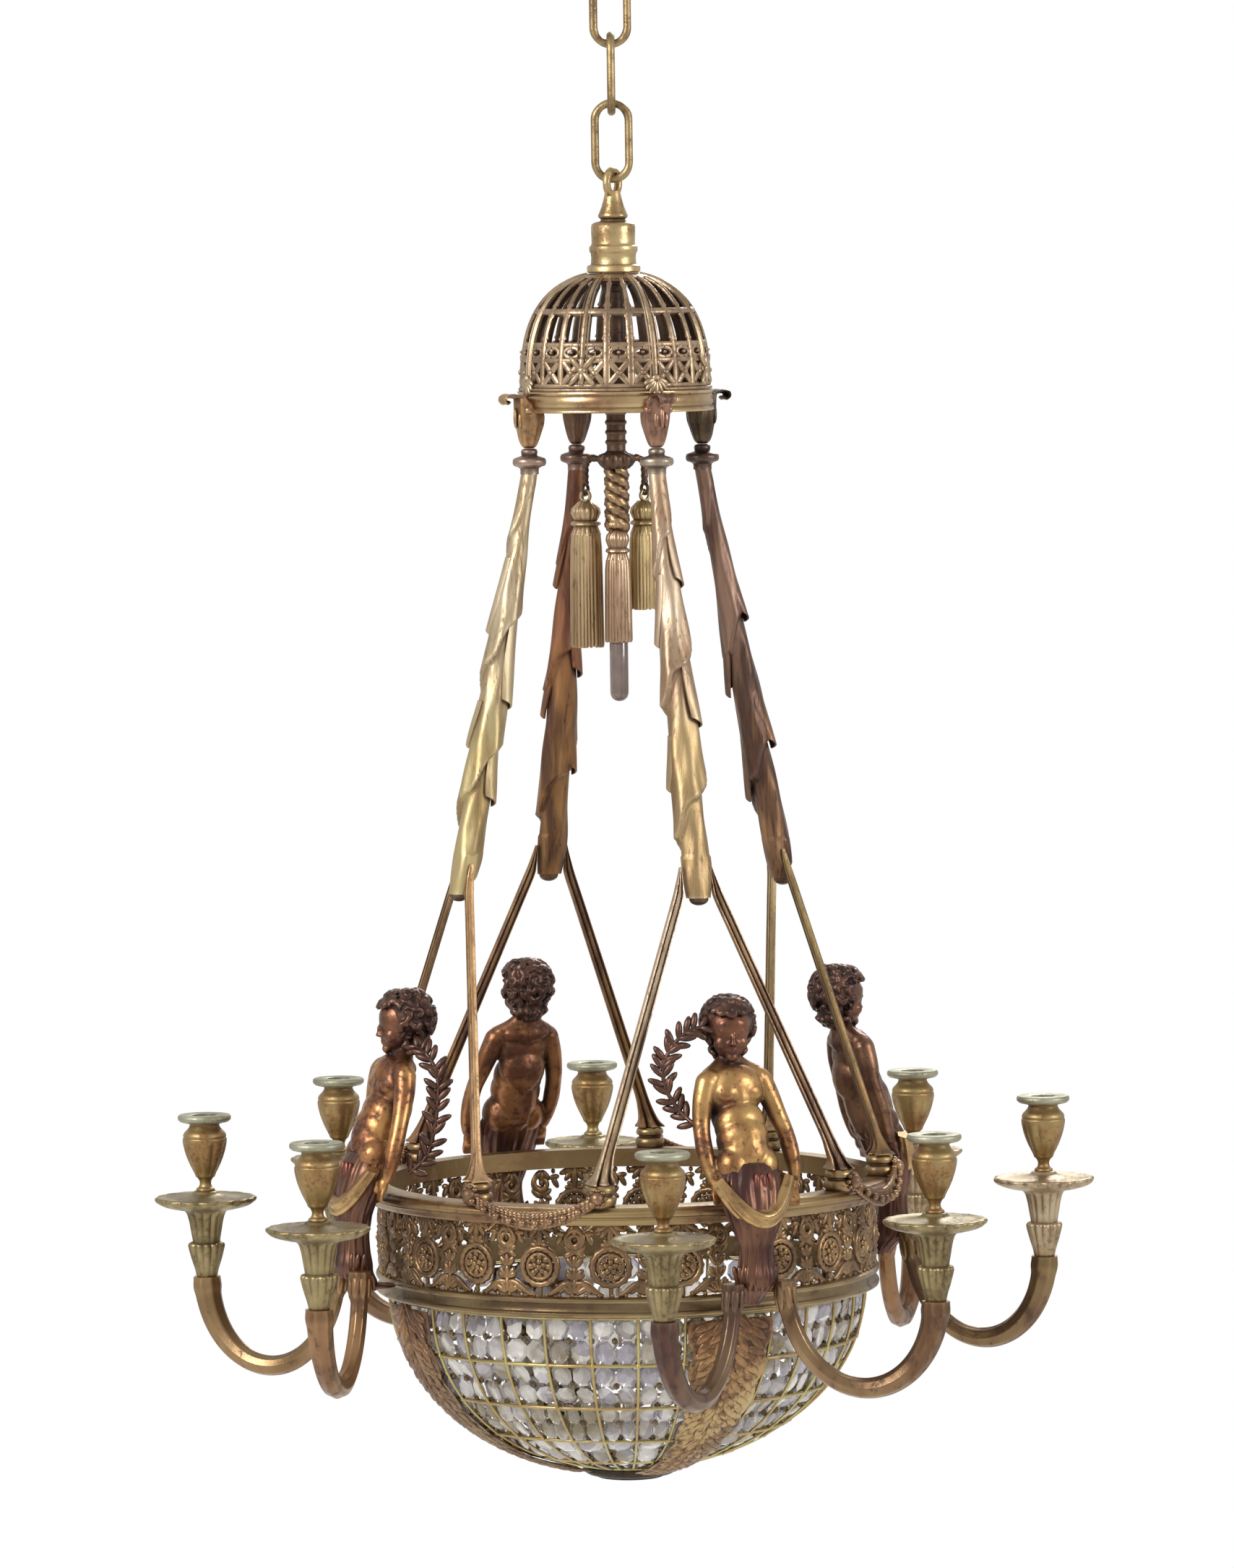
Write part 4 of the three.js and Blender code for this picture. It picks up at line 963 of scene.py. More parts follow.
for side, turn in quarters:
    node = "draped_stem_" + side
    bright, middle, dark, phase, low_bright, low_middle = stem_shading_looks[side]
    lower = ((stem_start - 190) * mm, 90 * mm, low_bright, low_middle)
    cloth_gilt = gilding("stem_gilt_" + side, bright, middle, dark, patch=60, streak=9,
                         roughness=0.44, age=0.45, depth=10, below=lower)
    collar_gilt = gilding("collar_gilt_" + side, *collar_shading_tones[side], (0.03, 0.015, 0.01), patch=50)
    placed(draped_stem(phase, stem_tips[side]), cloth_gilt, node, node + "_cast", turn)
    for mesh, finish in ((collar_mesh, collar_gilt), (knob_mesh, rod_bronze)):
        placed(mesh, finish, node, mesh.name + "_" + side, turn)


# Ribbons: flat reeded bars in pairs. Each is riveted to a cheek of its stem and spreads
# down to a flared foot that stands on a boss of the gallery.
gallery_top = stem_foot - 252
boss_top = gallery_top + 18
gallery_reach = 220
foot_turn = radians(30.4)
reed_face = [(-0.5, 0.3), (-0.44, 0.5), (-0.36, 0.5), (-0.3, 0.22), (-0.22, 0.22), (-0.14, 0.5),
             (0, 0.6), (0.14, 0.5), (0.22, 0.22), (0.3, 0.22), (0.36, 0.5), (0.44, 0.5), (0.5, 0.3)]
reeds = reed_face + [(-a, -b) for a, b in reed_face]


def ribbon(hand):
    foot_line = gallery_reach * cos(foot_turn)
    foot_offset = gallery_reach * sin(foot_turn)
    inner = stem_cheek + 0.3
    lean = (foot_reach - stem_reach) / stem_length
    turn_out = [(foot_reach - 26 * lean, inner + 0.9, stem_foot + 26, 1.6, 2.4),
                (foot_reach - 18 * lean, inner + 2, stem_foot + 18, 3.8, 4),
                (foot_reach - 2, inner + 3.6, stem_foot + 9, 6.8, 5),
                (foot_reach, inner + 6.2, stem_foot - 1, 9.4, 5)]
    low = (foot_line - 3, foot_offset - 9, boss_top + 28, 11.2, 5)
    straight = [tuple(a + (b - a) * t for a, b in zip(turn_out[-1], low))
        for t in (0.12, 0.3, 0.5, 0.7, 0.88, 1)]
    flare = [(foot_line - 1.4, foot_offset - 5, boss_top + 17, 13.4, 6),
             (foot_line, foot_offset - 2, boss_top + 9, 16, 9),
             (foot_line, foot_offset - 0.6, boss_top + 4, 19.5, 13.5),
             (foot_line, foot_offset, boss_top + 1.5, 23, 18.5),
             (foot_line, foot_offset, boss_top + 0.3, 23.4, 19)]
    rings = []
    for reach, offset, height, width, thick in eased(turn_out + straight + flare, 5):
        rings.append([front(reach + b * thick, hand * (offset + a * width), height)
                      for a, b in reeds])
    bm = bmesh.new()
    swept(bm, rings)
    return shaped(bm, "reeded_ribbon", 35)


ribbon_meshes = {"a": ribbon(-1), "b": ribbon(1)}
# Each ribbon takes its own lighter or darker tones, above and below: painted light and shade over
# the gilt.
ribbon_shading_tones = {"front_a": ((0.54, 0.42, 0.30), (0.38, 0.26, 0.17)),
    "front_b": ((0.38, 0.24, 0.13), (0.18, 0.10, 0.06)),
    "right_a": ((0.30, 0.21, 0.09), (0.14, 0.085, 0.045)),
    "right_b": ((0.60, 0.46, 0.25), (0.42, 0.29, 0.15)),
    "back_a": ((0.28, 0.16, 0.08), (0.14, 0.07, 0.042)),
    "back_b": ((0.34, 0.20, 0.10), (0.13, 0.065, 0.05)),
    "left_a": ((0.36, 0.23, 0.12), (0.20, 0.115, 0.065)),
    "left_b": ((0.50, 0.32, 0.15), (0.30, 0.16, 0.075))}
ribbon_low_shading_tones = {"front_a": ((0.48, 0.36, 0.22), (0.30, 0.19, 0.10)),
    "front_b": ((0.36, 0.22, 0.13), (0.15, 0.08, 0.06)),
    "right_a": ((0.24, 0.13, 0.06), (0.09, 0.05, 0.03)),
    "right_b": ((0.50, 0.33, 0.16), (0.30, 0.17, 0.085)),
    "back_a": ((0.36, 0.20, 0.08), (0.16, 0.08, 0.04)),
    "back_b": ((0.36, 0.18, 0.07), (0.12, 0.06, 0.04)),
    "left_a": ((0.38, 0.18, 0.085), (0.22, 0.11, 0.06)),
    "left_b": ((0.54, 0.34, 0.19), (0.34, 0.20, 0.11))}
for side, turn in quarters:
    for letter in "ab":
        name = side + "_" + letter
        reed_gilt = gilding("ribbon_gilt_" + name, *ribbon_shading_tones[name], (0.04, 0.02, 0.01),
                            patch=90, streak=14, roughness=0.4,
                            below=((stem_foot - 120) * mm, 120 * mm, *ribbon_low_shading_tones[name]))
        placed(ribbon_meshes[letter], reed_gilt, "ribbon_" + name,
            "reeded_ribbon_" + name, turn)


# Upper rim: a moulded gilt hoop that the ribbons stand on through eight turned bosses.
# Between the pairs hang four garlands of cast leaves and fruit, pinned to the hoop.
def upper_rim():
    bm = bmesh.new()
    section = [(208, 0), (225, 0), (227.6, -0.8), (228.4, -2.4), (230.2, -3.2), (231.7, -4.6),
               (232, -6.4), (231.4, -8.2), (229.6, -9.2), (229.4, -10.4), (227.8, -11.6),
               (227.2, -13.8), (226, -15.2), (225.2, -16), (208, -16)]
    turned(bm, section, gallery_top, 144, closed=True)
    boss = [(0, -2), (9.4, -2), (10.6, -0.4), (12.6, 1.8), (13, 4.4), (12.6, 7.4), (11.4, 8.6),
            (9.6, 9.4), (9.8, 10.6), (11.8, 11.8), (12.2, 14), (11.4, 16.2), (9.8, 17.7), (0, 18)]
    for k in range(4):
        for hand in (-1, 1):
            place = aside(gallery_reach, k * pi / 2 + hand * foot_turn, 0)
            turned(bm, boss, gallery_top, 32, (place.x, place.y))
    return shaped(bm, "gallery_hoop", 40)


def garland():
    bm = bmesh.new()
    reach = gallery_reach + 13
    gap = pi / 2 - 2 * foot_turn
    for i in range(30):
        t = (i + 0.5) / 30 * 2 - 1
        angle = pi / 4 + gap / 2 * t
        size = 8.5 * (1 - 0.45 * t * t)
        height = gallery_top + 8 - 20 * (1 - t * t)
        out = aside(1, angle, 0)
        for j in range(5):
            turn = (j + 0.5 * (i % 2)) / 5 * 2 * pi
            away = out * cos(turn) + upright * sin(turn)
            centre = aside(reach, angle, height) + away * size * 0.62 * mm
            tilt = Matrix.Rotation(copysign(0.5, t), 4, out) @ Matrix.Rotation(angle, 4, "Z")
            blob(bm, centre, (5.2, 3.1, 2.3), tilt, 1)
        if i % 3 == 1:
            blob(bm, aside(reach + size * 0.8, angle, height - 1), (3.2, 3.2, 3.2))
    for t in (-1, 1):
        angle = pi / 4 + gap / 2 * t * 0.97
        blob(bm, aside(reach + 2, angle, gallery_top + 8), (6, 6, 6))
        for turn in circle(8):
            sideways = aside(1, angle + pi / 2, 0)
            away = (sideways / mm * cos(turn) + upright * sin(turn)) * 6.4 * mm
            blob(bm, aside(reach, angle, gallery_top + 8) + away, (3, 3, 2.4), fineness=1)
    return shaped(bm, "leaf_garland", 70)


rim_gilt = gilding("rim_gilt", (0.34, 0.24, 0.11), (0.22, 0.12, 0.06), (0.045, 0.02, 0.01),
    patch=14)
garland_gilt = gilding("garland_gilt", (0.33, 0.20, 0.11), (0.14, 0.07, 0.042),
    (0.015, 0.008, 0.006), patch=20, age=0.9)
placed(upper_rim(), rim_gilt, "upper_rim")
garland_mesh = garland()
for side, turn in quarters:
    placed(garland_mesh, garland_gilt, "upper_rim", "leaf_garland_" + side, turn)


# Child figures: four half-length children cast in bronze, with curled hair and a cloth
# round the hips. Each stands before the gallery, screwed to both hoops, over an arm pair.
hoop_height, frieze_height, band_height = 16, 61, 18
lower_top = gallery_top - hoop_height - 0.3 - frieze_height
lower_base = lower_top - band_height
neck = gallery_top + 118
head_height = gallery_top + 147
knot_height = lower_top + 14


def limb(bm, points, sides_count=16):
    """A rounded limb through (reach, offset, height, radius) points."""
    path = eased(points, 5)
    rings = []
    for i, (reach, offset, height, radius) in enumerate(path):
        here = front(reach, offset, height)
        behind, ahead = neighbours(path, i)
        along = (front(*ahead[:3]) - front(*behind[:3])).normalized()
        side = along.cross(Vector((0, 1, 0.2))).normalized()
        rings.append(oval(here, side * radius * mm, side.cross(along) * radius * mm, sides_count))
    swept(bm, rings)
    for point in (path[0], path[-1]):
        blob(bm, front(*point[:3]), (point[3],) * 3)


def melted(bm, name, grain, smoothing):
    """Runs overlapping lumps together into one skin, as wax is before casting."""
    if bm.edges:
        bmesh.ops.holes_fill(bm, edges=[edge for edge in bm.edges if edge.is_boundary], sides=0)
    bmesh.ops.recalc_face_normals(bm, faces=bm.faces)
    lumps = bpy.data.meshes.new(name + "_lumps")
    bm.to_mesh(lumps)
    bm.free()
    holder = bpy.data.objects.new(name + "_lumps", lumps)
    scene.collection.objects.link(holder)
    remesh = holder.modifiers.new("run_together", "REMESH")
    remesh.mode = "VOXEL"
    remesh.voxel_size = grain * mm
    smooth = holder.modifiers.new("soften", "SMOOTH")
    smooth.factor = 0.5
    smooth.iterations = smoothing
    bpy.context.view_layer.update()
    skin = bpy.data.meshes.new_from_object(holder.evaluated_get(
        bpy.context.evaluated_depsgraph_get()))
    bpy.data.objects.remove(holder)
    bpy.data.meshes.remove(lumps)
    skin.name = name
    mark_hollows(skin, gain=2.6)
    skin.shade_smooth()
    return skin


def head_frame(turned_head):
    """The place and turn of a head that turns by an angle in degrees to the child's left."""
    tilt = Matrix.Rotation(radians(turned_head), 4, "Z") @ Matrix.Rotation(radians(4), 4, "X")
    return Matrix.Translation(front(209, 0, head_height - 4)) @ tilt


def child_body(turned_head):
    """Head, trunk and arms in one skin."""
    bm = bmesh.new()

    def lump(reach, offset, height, wide, deep, tall):
        blob(bm, front(reach, offset, height), (wide, deep, tall), fineness=3)

    for reach, drop, wide, deep, tall in ((221, 24, 25, 15, 23), (214, 24, 22, 10, 19),
            (218, 42, 21.5, 15.5, 24), (228, 52, 22.5, 18, 22), (233.5, 64, 23, 19.5, 22),
            (237, 76, 22.5, 20, 18), (209, 12, 22, 9, 9)):
        lump(reach, 0, neck - drop, wide, deep, tall)
    for hand in (-1, 1):
        lump(226, hand * 10, neck - 25, 12, 10.4, 10)
        lump(240, hand * 13, neck - 86, 15.5, 17, 18)
        lump(218, hand * 22, neck - 14, 9.5, 9.5, 9.5)
        limb(bm, [(209, hand * 4, neck + 2, 6.5), (212, hand * 12, neck - 6, 7.5),
            (216, hand * 21, neck - 12, 8.5)])
    limb(bm, [(208, 0, neck + 12, 8.8), (209, 0, neck - 2, 9.4), (211, 0, neck - 14, 11)])
    limb(bm, [(217, 0, neck - 16, 13), (221, 0, neck - 27, 15.5), (221, 0, neck - 38, 16.4),
              (226, 0, neck - 50, 18.4), (232, 0, neck - 62, 20.4), (236, 0, neck - 74, 20.8),
              (238, 0, neck - 86, 18)])
    limb(bm, [(218, -25, neck - 16, 10), (220, -29.5, neck - 30, 9.2), (222, -32.5, neck - 46, 7.9),
              (226, -34, neck - 58, 7.2), (231, -34, neck - 72, 7.3), (236, -32.5, neck - 86, 6),
              (241, -30.5, neck - 96, 4.9)])
    limb(bm, [(218, 25, neck - 16, 10), (221, 31, neck - 30, 9.2), (226, 36.5, neck - 46, 7.9),
              (231, 41, neck - 60, 7.2), (236, 43.5, neck - 76, 7.3), (240, 44.5, neck - 90, 6),
              (243, 43, neck - 100, 4.9)])
    for hand in (-1, 1):
        palm_offset, palm_reach, palm_drop = (-29, 244, 103) if hand < 0 else (40, 246, 107)
        lump(palm_reach, palm_offset, neck - palm_drop, 5.6, 4.2, 7)
        for n in range(4):
            finger = palm_offset + (n - 1.5) * 2.7
            limb(bm, [(palm_reach + 1, finger, neck - palm_drop - 4, 1.9),
                      (palm_reach + 3, finger, neck - palm_drop - 9, 1.7),
                      (palm_reach + 3, finger * 0.99, neck - palm_drop - 13, 1.5)], 8)
        limb(bm, [(palm_reach + 3, palm_offset - hand * 4.5, neck - palm_drop + 2, 2),
                  (palm_reach + 5, palm_offset - hand * 6.5, neck - palm_drop - 5, 1.6)], 8)
    tilt = head_frame(turned_head)

    def feature(out, offset, lift, wide, deep, tall, turn=0.0):
        local = tilt.to_3x3().to_4x4() @ Matrix.Rotation(radians(turn), 4, "Y")
        blob(bm, tilt @ (Vector((offset, -out, lift)) * mm), (wide, deep, tall), local, 3)

    for out, lift, wide, deep, tall in ((-1, 5, 19, 20.5, 19), (5, -9, 13.8, 13.4, 13.2),
            (14.5, -19.6, 5.2, 4.4, 4), (13.6, 8, 12, 5.4, 7), (19, -3.4, 2, 2.9, 5.2),
            (20.8, -7.2, 2.5, 2.5, 2.1), (17, -12.3, 4.6, 2.6, 1.3), (16.7, -14.6, 3.8, 2.6, 1.5)):
        feature(out, 0, lift, wide, deep, tall)
    for hand in (-1, 1):
        for out, offset, lift, wide, deep, tall, turn in ((9.6, 8, -8, 6.8, 7, 6.8, 0),
                (18.6, 2.6, -7.8, 1.7, 1.9, 1.5, 0), (14.6, 6.9, 0.4, 3.5, 2.6, 2.1, 0),
                (16.2, 6.9, 3.3, 4.2, 2, 0.9, 8), (15.3, 6.9, -2, 3.7, 1.6, 0.7, -6)):
            feature(out, hand * offset, lift, wide, deep, tall, hand * turn)
    return melted(bm, "child_body", 1.15, 4)


def curled_hair():
    """A full cap of soft round curls that falls to the jaw, about a head that looks ahead."""
    bm = bmesh.new()
    blob(bm, Vector((0, 7, 8)) * mm, (21.8, 20.8, 20.4), fineness=3)
    blob(bm, Vector((0, 9.5, -12)) * mm, (13.4, 11.6, 13), fineness=3)
    blob(bm, Vector((0, -7, 19.5)) * mm, (15, 11, 6.4), fineness=3)
    for row, (rise, count) in enumerate(((78, 5), (54, 10), (33, 13), (8, 14), (-14, 13), (-34, 11),
            (-51, 9), (-70, 6))):
        for k in range(count):
            angle = (k + 0.5 * (row % 2)) / count * 2 * pi
            level = cos(radians(rise))
            out = Vector((sin(angle) * level, -cos(angle) * level, sin(radians(rise))))
            if (out.y < -0.42 and rise < 25) or (rise < -10 and out.y < -0.15):
                continue
            drop = 23 if rise > 0 else 25 if rise > -40 else 31
            spot = Vector((out.x * (21.6 if rise > -20 else 19), 4 + out.y * 24,
                min(6.5 + out.z * drop, 27)))
            across = out.cross(upright).normalized()
            upward = across.cross(out).normalized()
            rings = []
            for n in range(10):
                turn = (1 if (k + row) % 2 else -1) * n / 9 * 4.7 + k * 1.7
                coil = across * cos(turn) + upward * sin(turn)
                middle = spot + coil * (4.2 - 0.3 * n) + out * (0.2 + 0.15 * n)
                thick = 3 - 0.08 * n
                rings.append(oval(middle * mm, coil * thick * mm, out * thick * mm, 8))
            swept(bm, rings)
    return melted(bm, "curled_hair", 1.1, 3)


def hip_cloth():
    """Pleated cloth that falls from the hips and closes to the knot over the arms."""
    bm = bmesh.new()
    shape = eased([(neck - 82, 241, 22, 16), (neck - 87, 242, 25, 18.6), (neck - 95, 246, 28, 19.4),
                   (neck - 104, 249, 28.6, 19), (neck - 118, 254, 26, 17.6),
                   (neck - 132, 257, 21.6, 16), (neck - 144, 257, 17, 14),
                   (neck - 152, 257, 14.6, 12.6), (knot_height + 16, 257, 15.4, 13.2),
                   (knot_height + 4, 257, 18, 15), (knot_height - 4, 255, 16.5, 14),
                   (lower_top + 2, 249, 11, 12), (lower_top - 6, 245.5, 7, 9)], 6)
    rings = []
    for i, (height, reach, half, deep) in enumerate(shape):
        ring = []
        for angle in circle(96):
            pleat = 1 + 0.035 * sin(13 * angle + 0.05 * i) + 0.025 * sin(22 * angle - 0.16 * i)
            ring.append(front(reach + deep * sin(angle) * pleat, half * cos(angle) * pleat, height))
        rings.append(ring)
    swept(bm, rings)
    for i in range(9):
        angle = (i / 8 - 0.5) * 3.0
        size = (3.4, 2.8, 12)
        blob(bm, front(255 + 13 * cos(angle), 16.4 * sin(angle), knot_height + 3), size,
            Matrix.Rotation(angle * 0.25, 4, "Y"))
    for level, inner in ((gallery_top - 6.5, gallery_reach + 12.3), (lower_top - 3, 218.3)):
        blob(bm, front((inner + 250) / 2, 0, level), (8, (250 - inner) / 2, 3), fineness=3)
    return shaped(bm, "hip_cloth", 55)


def hip_swag():
    """The rolled edge of the cloth, slung from hip to hip in front."""
    bm = bmesh.new()
    rings = []
    for i in range(41):
        t = i / 40 * 2 - 1
        centre = front(252 + 17 * (1 - t * t), 33.5 * t, neck - 94 - 33 * (1 - t * t))
        size = (8.4 - 3.2 * t * t) * mm
        along = Vector((33, -35.2 * t, 68 * t)).normalized()
        out = Vector((0, -1, 0))
        up = along.cross(out).normalized() * -1
        ring = []
        for angle in circle(36):
            pleat = 1 + 0.16 * sin(5 * angle + 3 * t) * (1 - 0.4 * abs(t))
            ring.append(centre + (out * cos(angle) + up * sin(angle)) * size * pleat)
        rings.append(ring)
    swept(bm, rings)
    return shaped(bm, "hip_swag", 60)


def hip_panel():
    """The fold of the cloth that shows in front above its rolled edge."""
    bm = bmesh.new()
    for offset, half in ((-2, 3.2), (4, 4.2), (10.5, 2.8)):
        blob(bm, front(264.4 - abs(offset) * 0.16, offset, neck - 104), (half, 3.6, 15), fineness=3)
    return shaped(bm, "hip_panel", 60)


def leaf_spray(points, through):
    """A bent twig with pairs of leaves that lie flat across the direction through them."""
    bm = bmesh.new()
    path = eased(points, 5)
    rings = []
    for i, point in enumerate(path):
        before, after = neighbours(path, i)
        along = (front(*after) - front(*before)).normalized()
        wide = along.cross(through).normalized()
        rings.append(oval(front(*point), wide * 1.9 * mm, wide.cross(along) * 1.9 * mm, 8))
        if i % 2:
            for hand in (-1, 1):
                lean = 0.75 + 0.25 * sin(i * 1.9)
                grown = (along * cos(lean) + wide * hand * sin(lean)
                    + through * 0.3 * hand).normalized()
                lie = Vector((0, 1, 0)).rotation_difference(grown).to_matrix().to_4x4()
                blob(bm, front(*point) + grown * 7.2 * mm, (3.1, 8.2, 3.1), lie)
    swept(bm, rings)
    return shaped(bm, "leaf_spray", 60)


# Each side's figure takes its own body tones, lighter or darker: painted light and shade over the
# bronze.
skin_shading_tones = {"front": ((0.50, 0.30, 0.115), (0.26, 0.115, 0.045)),
    "left": ((0.52, 0.28, 0.105), (0.25, 0.10, 0.042)),
    "back": ((0.42, 0.20, 0.085), (0.17, 0.07, 0.035)),
    "right": ((0.27, 0.145, 0.08), (0.115, 0.055, 0.035))}
hair_bronze = gilding("hair_bronze", (0.13, 0.068, 0.048), (0.07, 0.035, 0.028),
    (0.012, 0.006, 0.005), patch=60)
cloth_bronze = gilding("cloth_bronze", (0.17, 0.082, 0.05), (0.08, 0.036, 0.03),
    (0.014, 0.007, 0.006), patch=30, streak=2.5)
swag_bronze = gilding("swag_bronze", (0.50, 0.33, 0.14), (0.30, 0.17, 0.075), (0.05, 0.022, 0.01),
    patch=30, roughness=0.3)
head_turns = {"front": -14, "right": 6, "back": 8, "left": -20}
panel_bronze = gilding("panel_bronze", (0.22, 0.07, 0.045), (0.09, 0.032, 0.028),
    (0.014, 0.007, 0.006), patch=60, streak=3)
cloth_mesh, swag_mesh, panel_mesh, hair_mesh = hip_cloth(), hip_swag(), hip_panel(), curled_hair()
sprays = {
    "front": leaf_spray([(219, -36, neck - 52), (206, -45, neck - 40), (199, -54, neck - 22),
                         (198, -56, neck - 4), (200, -50, neck + 12), (204, -38, neck + 25),
                         (208, -24, neck + 30)], Vector((0, 1, 0))),
    "left": leaf_spray([(222, 40, neck - 98), (208, 46, neck - 84), (202, 50, neck - 60),
                        (199, 51, neck - 36), (198, 48, neck - 14), (203, 38, neck + 2),
                        (207, 24, neck + 8)], Vector((1, 0, 0)))}
for side, turn in quarters:
    child_node = "child_figure_" + side
    skin_bronze = gilding("skin_bronze_" + side, (0.20, 0.088, 0.05), (0.11, 0.046, 0.03),
                          (0.028, 0.012, 0.008), patch=26, age=0.6, depth=14,
                          below=((neck + 1) * mm, 18 * mm, *skin_shading_tones[side]))
    placed(child_body(head_turns[side]), skin_bronze, child_node,
        "child_body_" + side, turn)
    trims = [(hair_mesh, hair_bronze, turn @ head_frame(head_turns[side])),
             (cloth_mesh, cloth_bronze, turn), (swag_mesh, swag_bronze, turn),
             (panel_mesh, panel_bronze, turn)]
    if side in sprays:
        trims.append((sprays[side], hair_bronze, turn))
    for mesh, finish, lay in trims:
        placed(mesh, finish, child_node, mesh.name.split(".")[0] + "_" + side, lay)


# Candle arms: cast horns of eight flat panels that swing down from the knot under each
# figure and rise to the pans. A pinned joint with a dark gap holds the pan's leaf bell.
arm_joint = lower_top - 1
nozzle_reach = 364
nozzle_turn = radians(20.1)


def candle_arm(hand):
    bm = bmesh.new()
    dip = 82 * mm
    start = front(262, hand * 24, knot_height)
    end = aside(nozzle_reach, hand * nozzle_turn, arm_joint - 0.3)
    flat = Vector((end.x - start.x, end.y - start.y, 0)).normalized()
    side = Vector((-flat.y, flat.x, 0))

    def centre_line(t):
        across = (1 - cos(t * pi)) / 2
        point = start.lerp(end, across)
        point.z = start.z + (end.z - start.z) * t - dip * sin(t * pi)
        return point

    rings = []
    steps = 90
    for i in range(steps + 1):
        t = i / steps
        along = (centre_line(min(t + 0.01, 1)) - centre_line(max(t - 0.01, 0))).normalized()
        out = along.cross(side).normalized()
        radius = 7.5 + 4.5 * t * t
        if t > 0.93:
            radius += 0.9 * sin((t - 0.93) / 0.07 * pi) ** 2
        if t < 0.1:
            radius += 2.2 * (1 - t / 0.1) + 0.8 * sin(t / 0.1 * 3 * pi) ** 2
        ring = []
        for angle in circle(48):
            edge = abs(cos(4 * angle))
            panel = 0.925 + 0.045 * edge ** 2 + 0.035 * max(0.0, edge - 0.8) / 0.2
            ring.append(centre_line(t) + (side * cos(angle)
                + out * sin(angle)) * radius * panel * mm)
        rings.append(ring)
    swept(bm, rings)
    for n in range(7):
        along = (centre_line(0.12) - centre_line(0)).normalized()
        out = along.cross(side).normalized()
        angle = n / 7 * 2 * pi
        away = side * cos(angle) + out * sin(angle)
        lie = lying(side * -sin(angle) + out * cos(angle), away, along)
        blob(bm, centre_line(0.045) + away * 8 * mm, (3.6, 2.2, 12), lie)
    return shaped(bm, "candle_horn", 38)


arm_meshes = {"a": candle_arm(-1), "b": candle_arm(1)}
# Each arm takes its own lighter or darker tones: painted light and shade over the gilt.
arm_shading_tones = {"front_a": ((0.20, 0.13, 0.08), (0.10, 0.05, 0.04)),
    "front_b": ((0.32, 0.21, 0.11), (0.16, 0.085, 0.045)),
    "right_a": ((0.28, 0.20, 0.09), (0.15, 0.085, 0.045)),
    "right_b": ((0.30, 0.17, 0.08), (0.17, 0.08, 0.04)),
    "back_a": ((0.24, 0.15, 0.08), (0.12, 0.065, 0.035)),
    "back_b": ((0.24, 0.15, 0.08), (0.12, 0.065, 0.035)),
    "left_a": ((0.34, 0.22, 0.11), (0.20, 0.12, 0.055)),
    "left_b": ((0.36, 0.21, 0.10), (0.18, 0.095, 0.05))}


# Drip pans: shallow scalloped dishes of olive gilt on two-tier leaf bells. The bell plugs
# over the arm's end and the candle nozzle screws down into the dish.
def drip_pan():
    bm = bmesh.new()
    cup = [(8, 0, 0.03), (9, 0.3, 0.04), (10.2, 6, 0.05), (12.8, 14, 0.08), (15.2, 23, 0.1),
           (15.9, 27, 0.12), (14.6, 29, 0.14), (12, 29.5, 0.04)]
    bell = [(11.6, 27, 0.02), (12, 32, 0.06), (13.4, 40, 0.09), (14.8, 48, 0.1), (17, 55, 0.1),
        (20.6, 59, 0.06), (14, 61, 0.02)]
    dish = [(12, 55.6, 0.01), (21, 57.6, 0.012), (31, 59.6, 0.02), (38.4, 61.9, 0.035),
            (42.6, 64.4, 0.05), (44, 66.8, 0.055), (43, 68.6, 0.05), (39.6, 68.9, 0.03),
            (33, 68.2, 0.01), (22, 69, 0.0), (13, 71, 0.0), (10.4, 73.4, 0.0), (8.8, 74, 0.0)]
    for shape, lobes in ((cup, 12), (bell, 12), (dish, 16)):
        lobed(bm, [(radius, arm_joint + lift, depth) for radius, lift, depth in eased(shape, 3)],
            lobes, lobes * 8)
    return shaped(bm, "drip_dish", 42)


# Nozzles: urn cups of eight panels on a short foot, with a flat pale rim. The bore takes
# a candle of twenty-one millimetres.
pan_top = arm_joint + 74
nozzle_top = pan_top + 66


def urn_nozzle():
    bm = bmesh.new()
    foot = pan_top + 0.3
    cup = eased([(8, foot, 0.0), (7.8, foot + 1.6, 0.0), (5.6, foot + 3.4, 0.02),
                 (4.9, foot + 7, 0.03), (6.4, foot + 10.4, 0.03), (8.2, foot + 12, 0.02),
                 (9.4, foot + 15, 0.07), (13.4, foot + 23, 0.08), (16.8, foot + 32, 0.08),
                 (18.6, foot + 39.6, 0.07), (19, foot + 43, 0.02), (18.9, foot + 45, 0.0),
                 (18.2, foot + 46, 0.0), (18.6, foot + 47.4, 0.0), (17.6, foot + 50, 0.0),
                 (14.4, foot + 53.4, 0.0), (12.9, foot + 56, 0.0), (13.2, foot + 58, 0.0),
                 (16, foot + 59.4, 0.0)], 3)
    lobed(bm, [tuple(station) for station in cup] + [(10.7, foot + 59.4, 0.0),
        (10.7, foot + 33, 0.0)], 8, 96)
    return shaped(bm, "urn_cup", 40)


def nozzle_rim():
    bm = bmesh.new()
    section = [(10.5, -7.4), (15.4, -7.4), (20.6, -6.2), (22.6, -4.6), (23, -3), (22.8, -1.4),
               (21.6, -0.2), (17, 0), (12, -0.2), (10.5, -0.8)]
    turned(bm, section, nozzle_top, 64, closed=True)
    socket = [(0, -33), (12.2, -33), (12.2, -6), (10.5, -6), (10.5, -30), (0, -30)]
    turned(bm, socket, nozzle_top, 40)
    return shaped(bm, "nozzle_rim_disc", 40)


